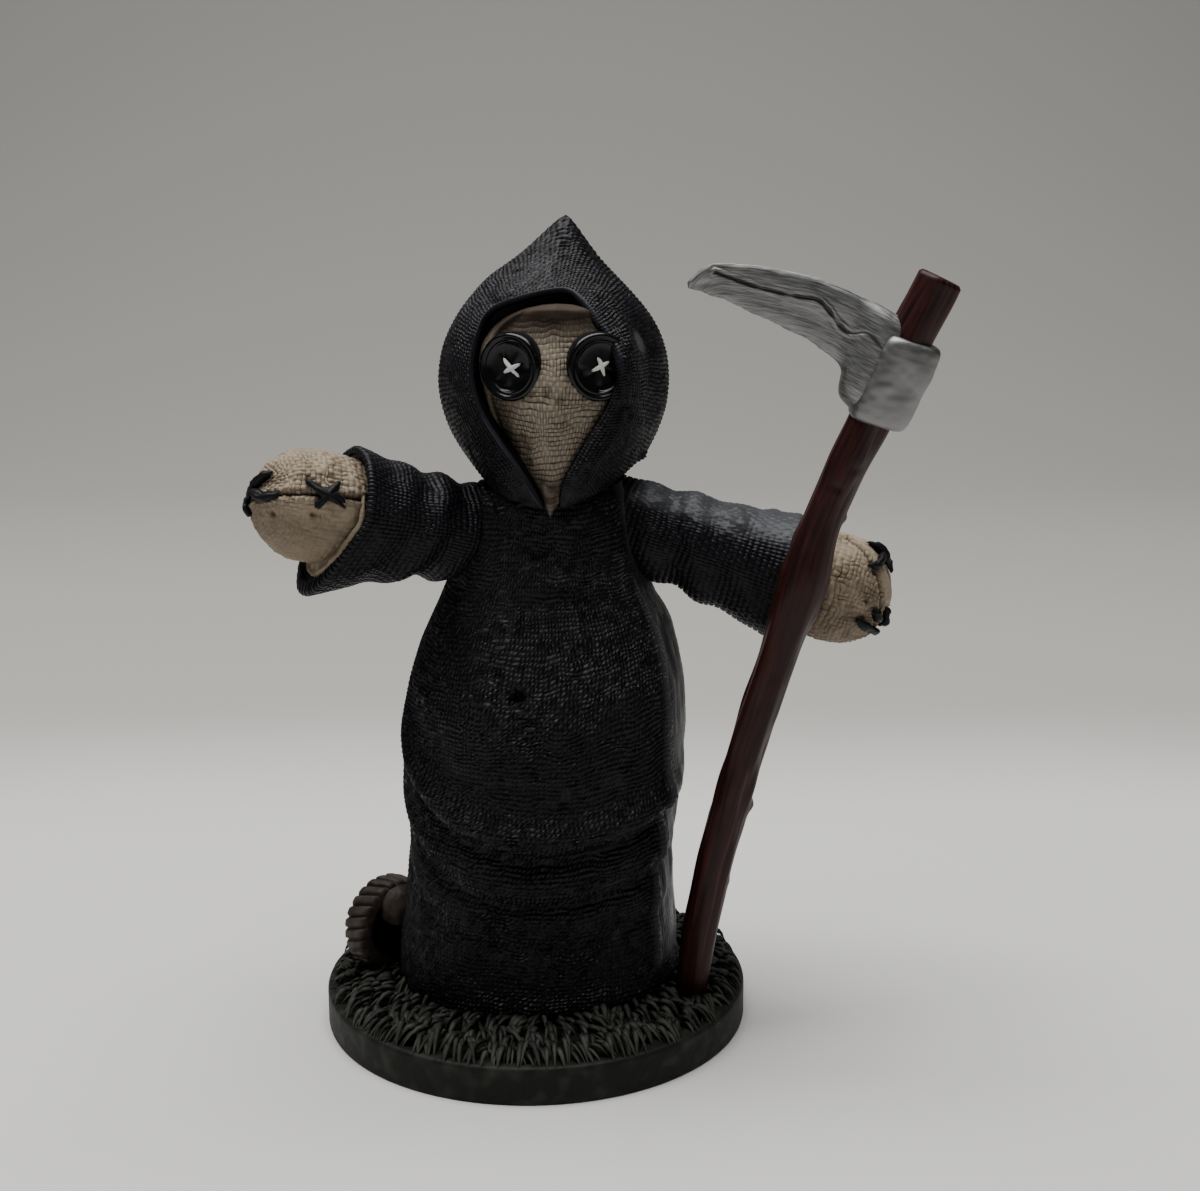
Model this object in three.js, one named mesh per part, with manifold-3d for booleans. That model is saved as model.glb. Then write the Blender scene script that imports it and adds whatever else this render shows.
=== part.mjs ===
// A grim reaper doll on a round grassy base, as cast in resin, with its scythe cast apart and
// glued to the base and to one hand. Millimetres, +Z up, the doll faces -Y, and the origin is
// the middle of the base's underside.

import * as THREE from 'three';
import { ParametricGeometry } from 'three/addons/geometries/ParametricGeometry.js';
import { mergeVertices } from 'three/addons/utils/BufferGeometryUtils.js';
import Module from 'manifold-3d';

const wasm = await Module();
wasm.setup();

// Base and grass
const BASE_RADIUS = 30.5;
const BASE_HEIGHT = 5.3;
const BASE_EDGE_ROUND = 0.7;
const GRASS_TUFTS = 30;
const GRASS_RING = 3.6;
const GRASS_OUTER_RADIUS = 28.8;
const GRASS_INNER_RADIUS = 17;
const GRASS_HEIGHT = 2.0;
const GRASS_LEAN = 1.5;
const SHAFT_CLEARANCE = 3;

// Robe: height, middle X, half width, depth to the front and depth to the back
const ROBE_MIDDLE_Y = 0.5;
const ROBE_STATIONS = [
  [3.5, 0.3, 20.3, 18.9, 16.4],
  [13, 0.4, 20.0, 18.6, 16.0],
  [20, 0.6, 19.3, 18.2, 15.4],
  [27, 1.0, 18.9, 18.6, 15.0],
  [35, 1.3, 19.6, 20.0, 15.0],
  [43, 1.7, 20.0, 20.8, 14.8],
  [51, 2.1, 19.3, 19.9, 14.2],
  [58, 2.5, 17.2, 17.6, 13.2],
  [64, 2.5, 14.4, 15.8, 12.0],
  [70, 2.7, 12.4, 15.2, 11.0],
  [77, 2.9, 10.6, 14.4, 10.4],
  [84, 3.4, 8.0, 9.0, 8.0],
];
const ROBE_SQUARENESS = 2.25;
// Sagging folds: height at the front, rise to the side, how much more the -X side rises, depth.
// Each is a groove with a soft roll of cloth above it
const ROBE_FOLDS = [
  { low: 29.3, rise: 14.5, lean: 6.5, depth: 1.0 },
  { low: 22.3, rise: 10.0, lean: 4.0, depth: 0.8 },
];
const FOLD_ROLL = { above: 2.6, width: 2.7 };
const FOLD_GROOVE = { share: 0.55, width: 0.9 };
const BELLY_RADIUS = 20;
// Angles are measured from the front, in radians
const NAVEL = { angle: -0.19, height: 52, radius: 1.5, depth: 1.4 };
const CHEST_ROLL = { angle: 0.14, height: 66, arch: 6, span: 0.6, width: 1.3, depth: 0.7 };

// Hood: a ball with a peak and a shoulder above, a brow in front and a cowl below the chin
const HEAD_MIDDLE = [3.6, 1.5, 92];
const HEAD_TURN = -4;
const HEAD_RADIUS = 15.8;
const HOOD_SWELLS = [
  { toward: [0.1, 0, 1], height: 6.3, spread: 0.235, power: 1.3 },
  { toward: [-0.35, 0, 1], height: 0.6, spread: 0.4, power: 2 },
  { toward: [-0.05, -1, 0.2], height: 2.2, spread: 0.9, power: 2 },
  { toward: [0, -0.72, -0.69], height: 5.6, spread: 0.5, power: 2 },
];
// Face opening, clockwise from the top: share of the way round, then X and Z of the lip's outer
// and of its inner edge, measured from the head's middle. The lip is a broad strip at +X
const OPENING_STATIONS = [
  [0, 1.2, 13.05, 0.9, 12.2],
  [0.06, 4.6, 11.6, 3.6, 11.1],
  [0.11, 7.4, 9.0, 6.2, 8.6],
  [0.16, 9.5, 6.0, 8.4, 5.6],
  [0.21, 10.7, 2.7, 9.5, 2.2],
  [0.27, 10.9, -1.2, 8.5, -1.3],
  [0.34, 9.5, -5.3, 6.3, -5.3],
  [0.4, 7.4, -8.6, 4.2, -8.6],
  [0.46, 5.1, -12.4, 2.4, -12.2],
  [0.53, 1.9, -16.4, 1.4, -15.6],
  [0.55, 0.7, -17.5, 0.7, -16.6],
  [0.58, -0.4, -15.9, 0, -15.2],
  [0.66, -3.4, -10.2, -3.0, -10.0],
  [0.73, -6.2, -6.4, -5.8, -6.2],
  [0.8, -8.6, -2.6, -8.2, -2.5],
  [0.86, -9.75, 2.0, -9.4, 2.0],
  [0.91, -9.3, 6.5, -8.9, 6.3],
  [0.955, -7.0, 10.6, -6.7, 10.1],
  [1, 1.2, 13.05, 0.9, 12.2],
];
// Rows of the hood stand closer near the opening, so that one of them crosses the peak
const HOOD_ROW_SPACING = 1.1;
const LIP_ROUND = 1.0;
const RECESS_DEPTH = 2.5;
const RECESS_FLOOR = [1, -10.8, 0];

// Mask, measured from the head's middle: a brow that narrows to a beak with a ridge down it
const MASK = {
  x: 1.4,
  lean: 0.9,
  halfWidth: 10.4,
  shoulder: 3,
  brow: 10.85,
  beak: 17.5,
  taper: 1.6,
  arch: 2.2,
  edgeY: -11,
  thickness: 4,
};
// How far the ridge stands out, from the tip of the beak up
const RIDGE_HEIGHTS = [
  [-17.5, 3.6], [-14, 5.4], [-7, 6.8], [0, 6.6], [5, 5.0], [8.2, 3.4], [10.85, 2.6],
];
const RIDGE_SHARPNESS = 1.45;
const BROW_HEM = { width: 1.5, height: 0.8 };
const BUTTON = {
  radius: 4.5,
  thickness: 1.6,
  root: 2.5,
  edge: 0.35,
  rim: 0.9,
  dish: 0.6,
  spacing: 5.4,
  z: 2.9,
  seatY: -13.8,
  splay: 24,
};
const THREAD = { length: 3.4, width: 0.55, proud: 0.5 };

// Sleeves from the shoulder to the middle of the mouth, and the stub hands in them. A stitch
// points the way from the hand's middle, and the seam is a plane across it
const ARMS = [
  {
    shoulder: [-4, -1.5, 70.4],
    mouth: [-24.2, -12.0, 75.9],
    shoulderRadius: 6.6,
    mouthRadius: 8.9,
    droop: 3.0,
    slant: 3.8,
    hand: [-28.5, -14.2, 77.2],
    handRadius: 7.9,
    stitches: [[-0.75, -0.6, 0.28], [0.39, -0.86, 0.33]],
    seam: [0, -0.34, -0.94],
  },
  {
    shoulder: [9, -1, 74.0],
    mouth: [35.0, -3.6, 65.5],
    shoulderRadius: 6.2,
    mouthRadius: 8.6,
    droop: 0.4,
    slant: 0.5,
    hand: [42.3, -4.2, 63.7],
    handRadius: 8.0,
    stitches: [[0.65, -0.4, 0.64], [0.52, -0.76, -0.38]],
    seam: [0.72, 0.68, 0.1],
  },
];
const FLARE_POWER = 2.6;
const WRINKLE = { waves: 4, depth: 0.35, twist: 2 };
const MOUTH_WALL = 1.1;
const MOUTH_RECESS = 1.2;
const HAND_WRIST = 1.5;
const STITCH = { length: 4.6, width: 1.0, thickness: 1.5, proud: 0.6, cross: 0.6 };

// Ribbed round behind the robe on the -X side, with a rounded lump on its face
const ROUND = {
  place: [-21.5, 1.2, 12.4],
  radius: 7.0,
  thickness: 4.4,
  facing: 44,
  ribs: 24,
  groove: 0.45,
  twist: -0.2,
};
const ROUND_LUMP = { place: [-20.0, -0.6, 15.9], radius: 3.0 };

// Scythe: middle line and radius of the shaft, from the foot up
const SHAFT_STATIONS = [
  [21.8, -8.9, 3.6, 2.1],
  [24.2, -10.3, 20.3, 2.45],
  [28.7, -12.1, 40.2, 2.5],
  [34.4, -13.9, 59.7, 2.6],
  [38.3, -15.3, 74.2, 2.5],
  [44.1, -16.5, 87.8, 2.8],
  [49.5, -17.6, 100.0, 2.9],
  [52.4, -18.2, 106.2, 2.9],
];
const SHAFT_KNOB = { at: 0.605, height: 1.1, width: 0.055 };
const SHAFT_SIDES = 10;
const BLADE_Y = -17.3;
// X and Z of the blade's back and of its cutting edge, from the socket to the tip
const BLADE_TOP = [
  [47.4, 101.4], [43.3, 103.6], [38.1, 105.8], [32.8, 107.2], [27.7, 107.9], [23.2, 107.7],
  [20.5, 105.3],
];
const BLADE_BELLY = [
  [41.2, 89.3], [40.2, 91.6], [40.3, 95.0], [37.4, 97.6], [30.4, 101.2], [25.4, 103.5],
  [20.5, 105.1],
];
const BLADE_THICKNESS = 3.0;
const BLADE_EDGE_THICKNESS = 0.7;
const SOCKET = {
  from: 0.815,
  to: 0.922,
  offset: 0.7,
  halfWidth: 3.9,
  halfDepth: 3.9,
  slant: 0.004,
};
const GLUE_GAP = 0.3;

// Closed solid from a geometry whose seams and poles meet
function solidOf(geometry) {
  geometry.deleteAttribute('normal');
  geometry.deleteAttribute('uv');
  const merged = mergeVertices(geometry, 1e-4);
  const triangles = [];
  for (let i = 0; i < merged.index.count; i += 3) {
    const corners = [merged.index.getX(i), merged.index.getX(i + 1), merged.index.getX(i + 2)];
    if (new Set(corners).size === 3) triangles.push(...corners);
  }
  return new wasm.Manifold(new wasm.Mesh({
    numProp: 3,
    vertProperties: merged.attributes.position.array,
    triVerts: Uint32Array.from(triangles),
  }));
}

// Closed skin over a grid: point(turn, row, target), where turn runs once round and the first
// and last rows are poles
function skin(turns, rows, point) {
  return solidOf(new ParametricGeometry((u, v, target) => {
    point((u % 1) * 2 * Math.PI, Math.round(v * rows), target);
  }, turns, rows));
}

function geometryOf(solid) {
  const mesh = solid.getMesh();
  const geometry = new THREE.BufferGeometry();
  geometry.setAttribute('position', new THREE.BufferAttribute(mesh.vertProperties, 3));
  geometry.setIndex(new THREE.BufferAttribute(mesh.triVerts, 1));
  return geometry;
}

// Smooth values between stations whose first number is the place
function alongStations(stations) {
  const places = stations.map((station) => station[0]);
  const values = stations.flatMap((station) => station.slice(1));
  return new THREE.CubicInterpolant(places, values, stations[0].length - 1);
}

const union = (solids) => solids.reduce((whole, part) => whole.add(part));
const bell = (distance, width, power = 2) => Math.exp(-(Math.abs(distance / width) ** power));
const vector = (place) => new THREE.Vector3(...place);
const between = (row, rows) => THREE.MathUtils.clamp((row - 1) / (rows - 2), 0, 1);
const atHead = (solid) => solid.rotate([0, 0, HEAD_TURN]).translate(HEAD_MIDDLE);

// How far a squared-off circle reaches beyond a round one, at a turn
function squared(turn, squareness) {
  const across = Math.abs(Math.sin(turn)) ** squareness;
  const along = Math.abs(Math.cos(turn)) ** squareness;
  return (across + along) ** (-1 / squareness);
}

// Base: a disc with a rounded edge whose top is rings of grass tufts. Tufts lean outward, every
// other one is moved in by half a ring, and none stands against the shaft's foot
function makeBase() {
  const columns = 2 * GRASS_TUFTS;
  const shoulder = 0.3 * BASE_EDGE_ROUND;
  const profile = [
    [0, 0],
    [BASE_RADIUS, 0],
    [BASE_RADIUS, BASE_HEIGHT - BASE_EDGE_ROUND],
    [BASE_RADIUS - shoulder, BASE_HEIGHT - shoulder],
    [BASE_RADIUS - BASE_EDGE_ROUND, BASE_HEIGHT],
  ];
  const edgeRows = profile.length;
  for (let radius = GRASS_OUTER_RADIUS; radius > GRASS_INNER_RADIUS; radius -= GRASS_RING / 2) {
    profile.push([radius, BASE_HEIGHT]);
  }
  profile.push([0, BASE_HEIGHT]);
  const rows = profile.length - 1;
  const [footX, footY] = SHAFT_STATIONS[0];
  return skin(columns, rows, (turn, row, target) => {
    let [radius, height] = profile[row];
    const column = Math.round((turn / (2 * Math.PI)) * columns) % columns;
    const tuft = Math.floor(column / 2);
    if (row >= edgeRows && row < rows && column % 2 === 1) {
      const fromFoot = Math.hypot(radius * Math.sin(turn) - footX, radius * Math.cos(turn) + footY);
      const clear = THREE.MathUtils.smoothstep(fromFoot, SHAFT_CLEARANCE, 2 * SHAFT_CLEARANCE);
      const tip = (row + tuft) % 2;
      const uneven = 0.8 + 0.2 * Math.sin(4.1 * tuft + 7.3 * row);
      height += clear * GRASS_HEIGHT * uneven * (tip ? 1 : 0.35);
      radius += clear * tip * GRASS_LEAN;
    }
    target.set(radius * Math.sin(turn), -radius * Math.cos(turn), height);
  });
}

// Height of a sagging fold's crease at an angle from the front
function creaseHeight(fold, angle) {
  return fold.low + (fold.rise - fold.lean * Math.sin(angle)) * (1 - Math.cos(angle));
}

// How far the cloth stands out of the plain robe
function robeRelief(angle, height) {
  const front = THREE.MathUtils.smoothstep(Math.cos(angle), 0.28, 0.88);
  let relief = 0;
  for (const fold of ROBE_FOLDS) {
    const above = height - creaseHeight(fold, angle);
    const roll = bell(above - FOLD_ROLL.above, FOLD_ROLL.width);
    relief += front * fold.depth * (roll - FOLD_GROOVE.share * bell(above, FOLD_GROOVE.width));
  }
  const { arch, width, span, depth } = CHEST_ROLL;
  const aside = angle - CHEST_ROLL.angle;
  const above = height - (CHEST_ROLL.height - arch * aside ** 2);
  relief += depth * bell(above, width) * bell(aside, span);
  const fromNavel = Math.hypot((angle - NAVEL.angle) * BELLY_RADIUS, height - NAVEL.height);
  return relief - NAVEL.depth * bell(fromNavel, NAVEL.radius);
}

// Robe: stacked rounded sections with folds that sag across the front
function makeRobe() {
  const stations = alongStations(ROBE_STATIONS);
  const low = ROBE_STATIONS[0][0];
  const high = ROBE_STATIONS.at(-1)[0];
  const rows = 28;
  return skin(36, rows, (turn, row, target) => {
    const height = THREE.MathUtils.lerp(low, high, between(row, rows));
    const [middle, halfWidth, front, back] = stations.evaluate(height);
    const angle = turn > Math.PI ? turn - 2 * Math.PI : turn;
    const depth = Math.cos(angle) > 0 ? front : back;
    const square = squared(angle, ROBE_SQUARENESS);
    const relief = robeRelief(angle, height);
    const pole = row === 0 || row === rows ? 0 : 1;
    target.set(
      middle + pole * (halfWidth * square + relief) * Math.sin(angle),
      ROBE_MIDDLE_Y - pole * (depth * square + relief) * Math.cos(angle),
      height,
    );
  });
}

// Distance of the hood's outer skin from the head's middle in a direction
function hoodRadius(direction) {
  let radius = HEAD_RADIUS;
  for (const { toward, height, spread, power } of HOOD_SWELLS) {
    radius += height * bell(direction.angleTo(vector(toward)), spread, power);
  }
  return radius;
}

// Point of the hood's skin that is seen at a place from the front
function hoodFront(x, z) {
  const point = new THREE.Vector3(x, -HEAD_RADIUS, z);
  for (let i = 0; i < 12; i += 1) {
    const radius = hoodRadius(point.clone().normalize());
    point.y = -Math.sqrt(Math.max(radius ** 2 - x * x - z * z, 16));
  }
  return point;
}

// Hood: from the recess floor over the lip and round the head to the back
function makeHood() {
  const opening = alongStations(OPENING_STATIONS);
  const lipRows = [1, 1, 0.5, 0];
  const first = lipRows.length;
  const rows = 16;
  const back = new THREE.Vector3(0, 1, -0.1).normalize();
  return atHead(skin(36, rows, (turn, row, target) => {
    const [outerX, outerZ, innerX, innerZ] = opening.evaluate(turn / (2 * Math.PI));
    if (row === 0) {
      target.set(...RECESS_FLOOR);
    } else if (row < first) {
      const inward = lipRows[row - 1];
      const x = THREE.MathUtils.lerp(outerX, innerX, inward);
      const z = THREE.MathUtils.lerp(outerZ, innerZ, inward);
      target.copy(hoodFront(x, z));
      target.y += LIP_ROUND * inward ** 2;
      if (row === 1) target.y = Math.max(target.y + RECESS_DEPTH, RECESS_FLOOR[1]);
    } else {
      const share = ((row - first) / (rows - first)) ** HOOD_ROW_SPACING;
      const direction = hoodFront(outerX, outerZ).normalize();
      const swing = direction.angleTo(back) * share;
      const aside = back.clone().addScaledVector(direction, -direction.dot(back)).normalize();
      direction.multiplyScalar(Math.cos(swing)).addScaledVector(aside, Math.sin(swing));
      target.copy(direction).multiplyScalar(hoodRadius(direction));
    }
  }));
}

// Middle X and half width of the mask at a height from the head's middle
function maskSpan(z) {
  const { halfWidth, shoulder, brow, beak } = MASK;
  const below = THREE.MathUtils.clamp((shoulder - z) / (beak + shoulder), 0, 1);
  const above = THREE.MathUtils.clamp((z - shoulder) / (brow - shoulder), 0, 1);
  const share = z < shoulder ? 1 - below ** MASK.taper : Math.sqrt(1 - above ** MASK.arch);
  return [MASK.x - MASK.lean * below ** 2, halfWidth * share];
}

// Mask: a cloth-covered face, ridged down the middle, with a rolled hem over the brow
function makeMask() {
  const rows = 16;
  const ridge = alongStations(RIDGE_HEIGHTS);
  return atHead(skin(20, rows, (turn, row, target) => {
    const share = (1 - Math.cos((Math.PI * row) / rows)) / 2;
    const z = THREE.MathUtils.lerp(-MASK.beak, MASK.brow, share);
    const aside = Math.cos(turn);
    const ahead = Math.sin(turn);
    const [middle, span] = maskSpan(z);
    const halfWidth = row === 0 || row === rows ? 0 : span;
    let depth = MASK.thickness * ahead;
    if (ahead > 0) {
      const rim = Math.min(halfWidth * (1 - Math.abs(aside)), MASK.brow - z);
      depth = ridge.evaluate(z)[0] * (1 - Math.abs(aside) ** RIDGE_SHARPNESS);
      if (z > 0) depth += BROW_HEM.height * bell(rim, BROW_HEM.width);
    }
    target.set(middle - halfWidth * aside, MASK.edgeY - depth * Math.min(1, halfWidth / 2), z);
  }));
}

// Button: a dished disc with a raised rim and two crossed threads
function makeButton(side) {
  const { radius, thickness, root, edge, rim, dish } = BUTTON;
  const floor = thickness - dish;
  const profile = [
    [0, -root],
    [radius, -root],
    [radius, thickness - edge],
    [radius - edge, thickness],
    [radius - rim, thickness],
    [radius - rim - edge, floor],
    [0, floor],
  ].map(([across, up]) => new THREE.Vector2(across, up));
  const threads = [-1, 1].map((slope) => solidOf(
    new THREE.BoxGeometry(THREAD.length, THREAD.width, 2 * THREAD.proud)
      .translate(0, 0, floor)
      .rotateZ((slope * Math.PI) / 4),
  ));
  const disc = solidOf(new THREE.LatheGeometry(profile, 20).rotateX(Math.PI / 2));
  const button = union([disc, ...threads]).rotate([90, 0, side * BUTTON.splay]);
  return atHead(button.translate([MASK.x + side * BUTTON.spacing, BUTTON.seatY, BUTTON.z]));
}

// Unit vectors of an arm: along it, to its side and up across it
function armFrame(arm) {
  const along = vector(arm.mouth).sub(vector(arm.shoulder)).normalize();
  const aside = new THREE.Vector3().crossVectors(along, new THREE.Vector3(0, 0, 1)).normalize();
  return { along, aside, up: new THREE.Vector3().crossVectors(aside, along) };
}

// Sleeve: widens from the shoulder to a drooping mouth with a shallow recess
function makeSleeve(arm) {
  const { along, aside, up } = armFrame(arm);
  const length = vector(arm.mouth).distanceTo(vector(arm.shoulder));
  const rows = 13;
  return skin(20, rows, (turn, row, target) => {
    const share = Math.min(1, Math.max(0, row - 1) / (rows - 4));
    const flare = share ** FLARE_POWER;
    const below = Math.max(0, -Math.sin(turn));
    const wave = Math.sin(2 * Math.PI * share * WRINKLE.waves + WRINKLE.twist * Math.sin(turn));
    let radius = THREE.MathUtils.lerp(arm.shoulderRadius, arm.mouthRadius, flare);
    radius += WRINKLE.depth * wave * bell(share - 0.5, 0.3);
    let distance = share * length + flare * arm.slant * below;
    let sag = flare * arm.droop * below ** 2;
    if (row > rows - 3) radius -= MOUTH_WALL;
    if (row > rows - 2) distance -= MOUTH_RECESS;
    if (row === rows) distance = length - MOUTH_RECESS;
    if (row === 0 || row === rows) [radius, sag] = [0, 0];
    target.copy(vector(arm.shoulder));
    target.addScaledVector(along, distance);
    target.addScaledVector(aside, -radius * Math.cos(turn));
    target.addScaledVector(up, radius * Math.sin(turn) - sag);
  });
}

// Stub hand: a ball of sacking, drawn out into the sleeve, its seam closed by crossed stitches
function makeHand(arm) {
  const { along, aside, up } = armFrame(arm);
  const place = new THREE.Matrix4().makeBasis(aside, up.negate(), along).setPosition(...arm.hand);
  const ball = new THREE.SphereGeometry(arm.handRadius, 16, 10).rotateX(Math.PI / 2);
  const skinPoints = ball.attributes.position;
  for (let i = 0; i < skinPoints.count; i += 1) {
    if (skinPoints.getZ(i) < 0) skinPoints.setZ(i, skinPoints.getZ(i) * HAND_WRIST);
  }
  const parts = [solidOf(ball.applyMatrix4(place))];
  for (const stitch of arm.stitches) {
    const outward = vector(stitch).normalize();
    const run = new THREE.Vector3().crossVectors(outward, vector(arm.seam)).normalize();
    const across = new THREE.Vector3().crossVectors(outward, run);
    const seat = new THREE.Matrix4().makeBasis(run, across, outward).setPosition(...arm.hand);
    for (const slope of [-1, 1]) {
      const bar = new THREE.BoxGeometry(STITCH.length, STITCH.width, STITCH.thickness, 3, 1, 1);
      const corners = bar.attributes.position;
      for (let i = 0; i < corners.count; i += 1) {
        corners.setZ(i, corners.getZ(i) - corners.getX(i) ** 2 / (2 * arm.handRadius));
      }
      bar.rotateZ(slope * STITCH.cross);
      bar.translate(0, 0, arm.handRadius + STITCH.proud - STITCH.thickness / 2);
      parts.push(solidOf(bar.applyMatrix4(seat)));
    }
  }
  return union(parts);
}

// Ribbed round: a thick disc on edge with blocks round its rim and a recessed face
function makeRound() {
  const { place, radius, thickness, facing, ribs, groove, twist } = ROUND;
  const profile = [
    [0, 1.2], [0.62, 1.2], [0.68, 0], [0.92, 0], [1, 0.4],
    [1, thickness - 0.4], [0.92, thickness], [0, thickness],
  ];
  const disc = skin(3 * ribs, profile.length - 1, (turn, row, target) => {
    const [across, back] = profile[row];
    const column = Math.round((turn / (2 * Math.PI)) * 3 * ribs);
    const rib = Math.floor(column / 3) + [0, 0.16, 0.84][column % 3];
    const angle = (rib * 2 * Math.PI) / ribs + (twist * back) / thickness;
    const reach = across * radius - (across > 0.9 && column % 3 === 0 ? groove : 0);
    target.set(reach * Math.sin(angle), back - thickness / 2, reach * Math.cos(angle));
  });
  const lump = new THREE.SphereGeometry(ROUND_LUMP.radius, 10, 8).translate(...ROUND_LUMP.place);
  return disc.rotate([0, 0, facing]).translate(place).add(solidOf(lump));
}

const shaftLine = new THREE.CatmullRomCurve3(SHAFT_STATIONS.map((station) => vector(station)));
const shaftRadius = alongStations(SHAFT_STATIONS.map(([, , z, radius]) => [z, radius]));

// Point off the shaft's middle line, to its +X side and behind it, at a share of its length
function besideShaft(share, aside, behind, target) {
  const along = shaftLine.getTangentAt(share);
  const right = new THREE.Vector3(0, 1, 0).cross(along).normalize();
  const back = new THREE.Vector3().crossVectors(along, right);
  target.copy(shaftLine.getPointAt(share));
  target.addScaledVector(right, aside);
  target.addScaledVector(back, behind);
}

// Shaft: a bent branch, thicker at the top, with a knob where the hand holds it
function makeShaft(extra = 0) {
  const rows = 20;
  return skin(SHAFT_SIDES, rows, (turn, row, target) => {
    const share = between(row, rows);
    const knob = SHAFT_KNOB.height * bell(share - SHAFT_KNOB.at, SHAFT_KNOB.width);
    let radius = shaftRadius.evaluate(shaftLine.getPointAt(share).z)[0] + extra;
    radius += knob * (0.7 + 0.3 * Math.cos(turn));
    if (row === 0 || row === rows) radius = 0;
    besideShaft(share, radius * Math.cos(turn), radius * Math.sin(turn), target);
    if (row <= 1) target.z -= extra;
  });
}

// Blade: between a top and a belly curve, thick at the back and thin at the edge
function makeBlade() {
  const curveOf = (points) => new THREE.CatmullRomCurve3(
    points.map(([x, z]) => new THREE.Vector3(x, BLADE_Y, z)),
  );
  const top = curveOf(BLADE_TOP);
  const belly = curveOf(BLADE_BELLY);
  const rows = 17;
  const section = [
    [0, 1], [0.42, 1], [0.55, 0.66], [1, 0.3], [1, -0.3], [0.55, -0.66], [0.42, -1], [0, -1],
  ];
  return skin(section.length, rows, (turn, row, target) => {
    const share = between(row, rows);
    const corner = Math.round((turn / (2 * Math.PI)) * section.length) % section.length;
    const [down, face] = section[corner];
    const pole = row === 0 || row === rows;
    target.copy(top.getPoint(share)).lerp(belly.getPoint(share), pole ? 0.5 : down);
    const thickness = THREE.MathUtils.lerp(BLADE_THICKNESS, BLADE_EDGE_THICKNESS, share ** 1.5);
    if (!pole) target.y += (face * thickness) / 2;
  });
}

// Socket: a squared sleeve round the shaft that the blade grows out of
function makeSocket() {
  const { from, to, offset, halfWidth, halfDepth, slant } = SOCKET;
  const profile = [0, 0.88, 1, 1, 1, 0.97, 0.88, 0];
  const rows = profile.length - 1;
  return skin(12, rows, (turn, row, target) => {
    const aside = offset + profile[row] * halfWidth * squared(turn, 4) * Math.cos(turn);
    const behind = profile[row] * halfDepth * squared(turn, 4) * Math.sin(turn);
    const share = THREE.MathUtils.lerp(from, to, between(row, rows)) + (slant * aside) / halfWidth;
    besideShaft(share, aside, behind, target);
  });
}

const doll = union([
  makeBase(),
  makeRobe(),
  makeHood(),
  makeMask(),
  makeButton(-1),
  makeButton(1),
  ...ARMS.map(makeSleeve),
  ...ARMS.map(makeHand),
  makeRound(),
]).subtract(makeShaft(GLUE_GAP));

const scythe = union([makeShaft(), makeBlade(), makeSocket()]);

const blackPaint = new THREE.MeshStandardMaterial({ color: '#26262a', roughness: 0.72 });
const brownPaint = new THREE.MeshStandardMaterial({ color: '#4a3432', roughness: 0.5 });

const group = new THREE.Group();
const pieces = [['figure', doll, blackPaint], ['scythe', scythe, brownPaint]];
for (const [name, solid, material] of pieces) {
  const mesh = new THREE.Mesh(geometryOf(solid), material);
  mesh.name = name;
  group.add(mesh);
}

export default group;
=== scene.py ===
"""Looks of a grim reaper doll, a small painted resin casting with a scythe glued to it.

Every piece is a surface worked out on a grid in millimetres, in the frame of the packed solids,
and made a mesh in metres. The doll faces -Y. Angles round the robe and turns round the hood are
in radians; the robe's are measured from the front towards +X.
"""

import math

import bpy
import numpy as np
from mathutils import Matrix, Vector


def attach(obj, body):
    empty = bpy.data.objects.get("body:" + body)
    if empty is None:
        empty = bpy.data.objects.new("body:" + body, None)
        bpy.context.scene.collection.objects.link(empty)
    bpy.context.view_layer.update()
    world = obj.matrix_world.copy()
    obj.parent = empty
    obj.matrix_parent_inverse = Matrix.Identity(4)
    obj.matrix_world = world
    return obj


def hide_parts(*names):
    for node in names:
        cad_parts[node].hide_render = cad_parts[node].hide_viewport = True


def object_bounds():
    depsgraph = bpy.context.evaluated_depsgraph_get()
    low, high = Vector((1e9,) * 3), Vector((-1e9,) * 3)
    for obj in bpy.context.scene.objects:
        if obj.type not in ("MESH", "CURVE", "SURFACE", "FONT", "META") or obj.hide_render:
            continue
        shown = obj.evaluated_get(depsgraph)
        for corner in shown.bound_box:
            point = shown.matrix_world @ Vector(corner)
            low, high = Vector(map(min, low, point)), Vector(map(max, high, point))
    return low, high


bl_info = {
    "name": "Grim reaper doll",
    "version": (1, 0, 0),
    "blender": (4, 5, 0),
    "location": "3D View > Sidebar > Reaper",
    "description": "Builds a painted resin grim reaper doll with its scythe, piece by piece",
    "category": "Add Mesh",
}

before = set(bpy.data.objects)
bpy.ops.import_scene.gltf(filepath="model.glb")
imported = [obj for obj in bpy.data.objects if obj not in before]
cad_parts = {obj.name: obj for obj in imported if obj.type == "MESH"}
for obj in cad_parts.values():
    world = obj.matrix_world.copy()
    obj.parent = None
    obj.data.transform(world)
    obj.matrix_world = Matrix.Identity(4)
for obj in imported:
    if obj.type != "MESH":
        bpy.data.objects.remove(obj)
CAD_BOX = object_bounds()

MM = 0.001

# Where a thread's groove and the middle of its top are, for threads with plain flat sides
FLAT_THREAD = (0, 0.5)
# Depth in mm at which a groove of the weave is as dark as it gets
FULL_WASH_DEPTH = 0.1

# Robe: Y of its middle, and heights of its lowest and its highest row
ROBE_MIDDLE_Y = 0.5
ROBE_SPAN = (3.7, 79.0)
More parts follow.
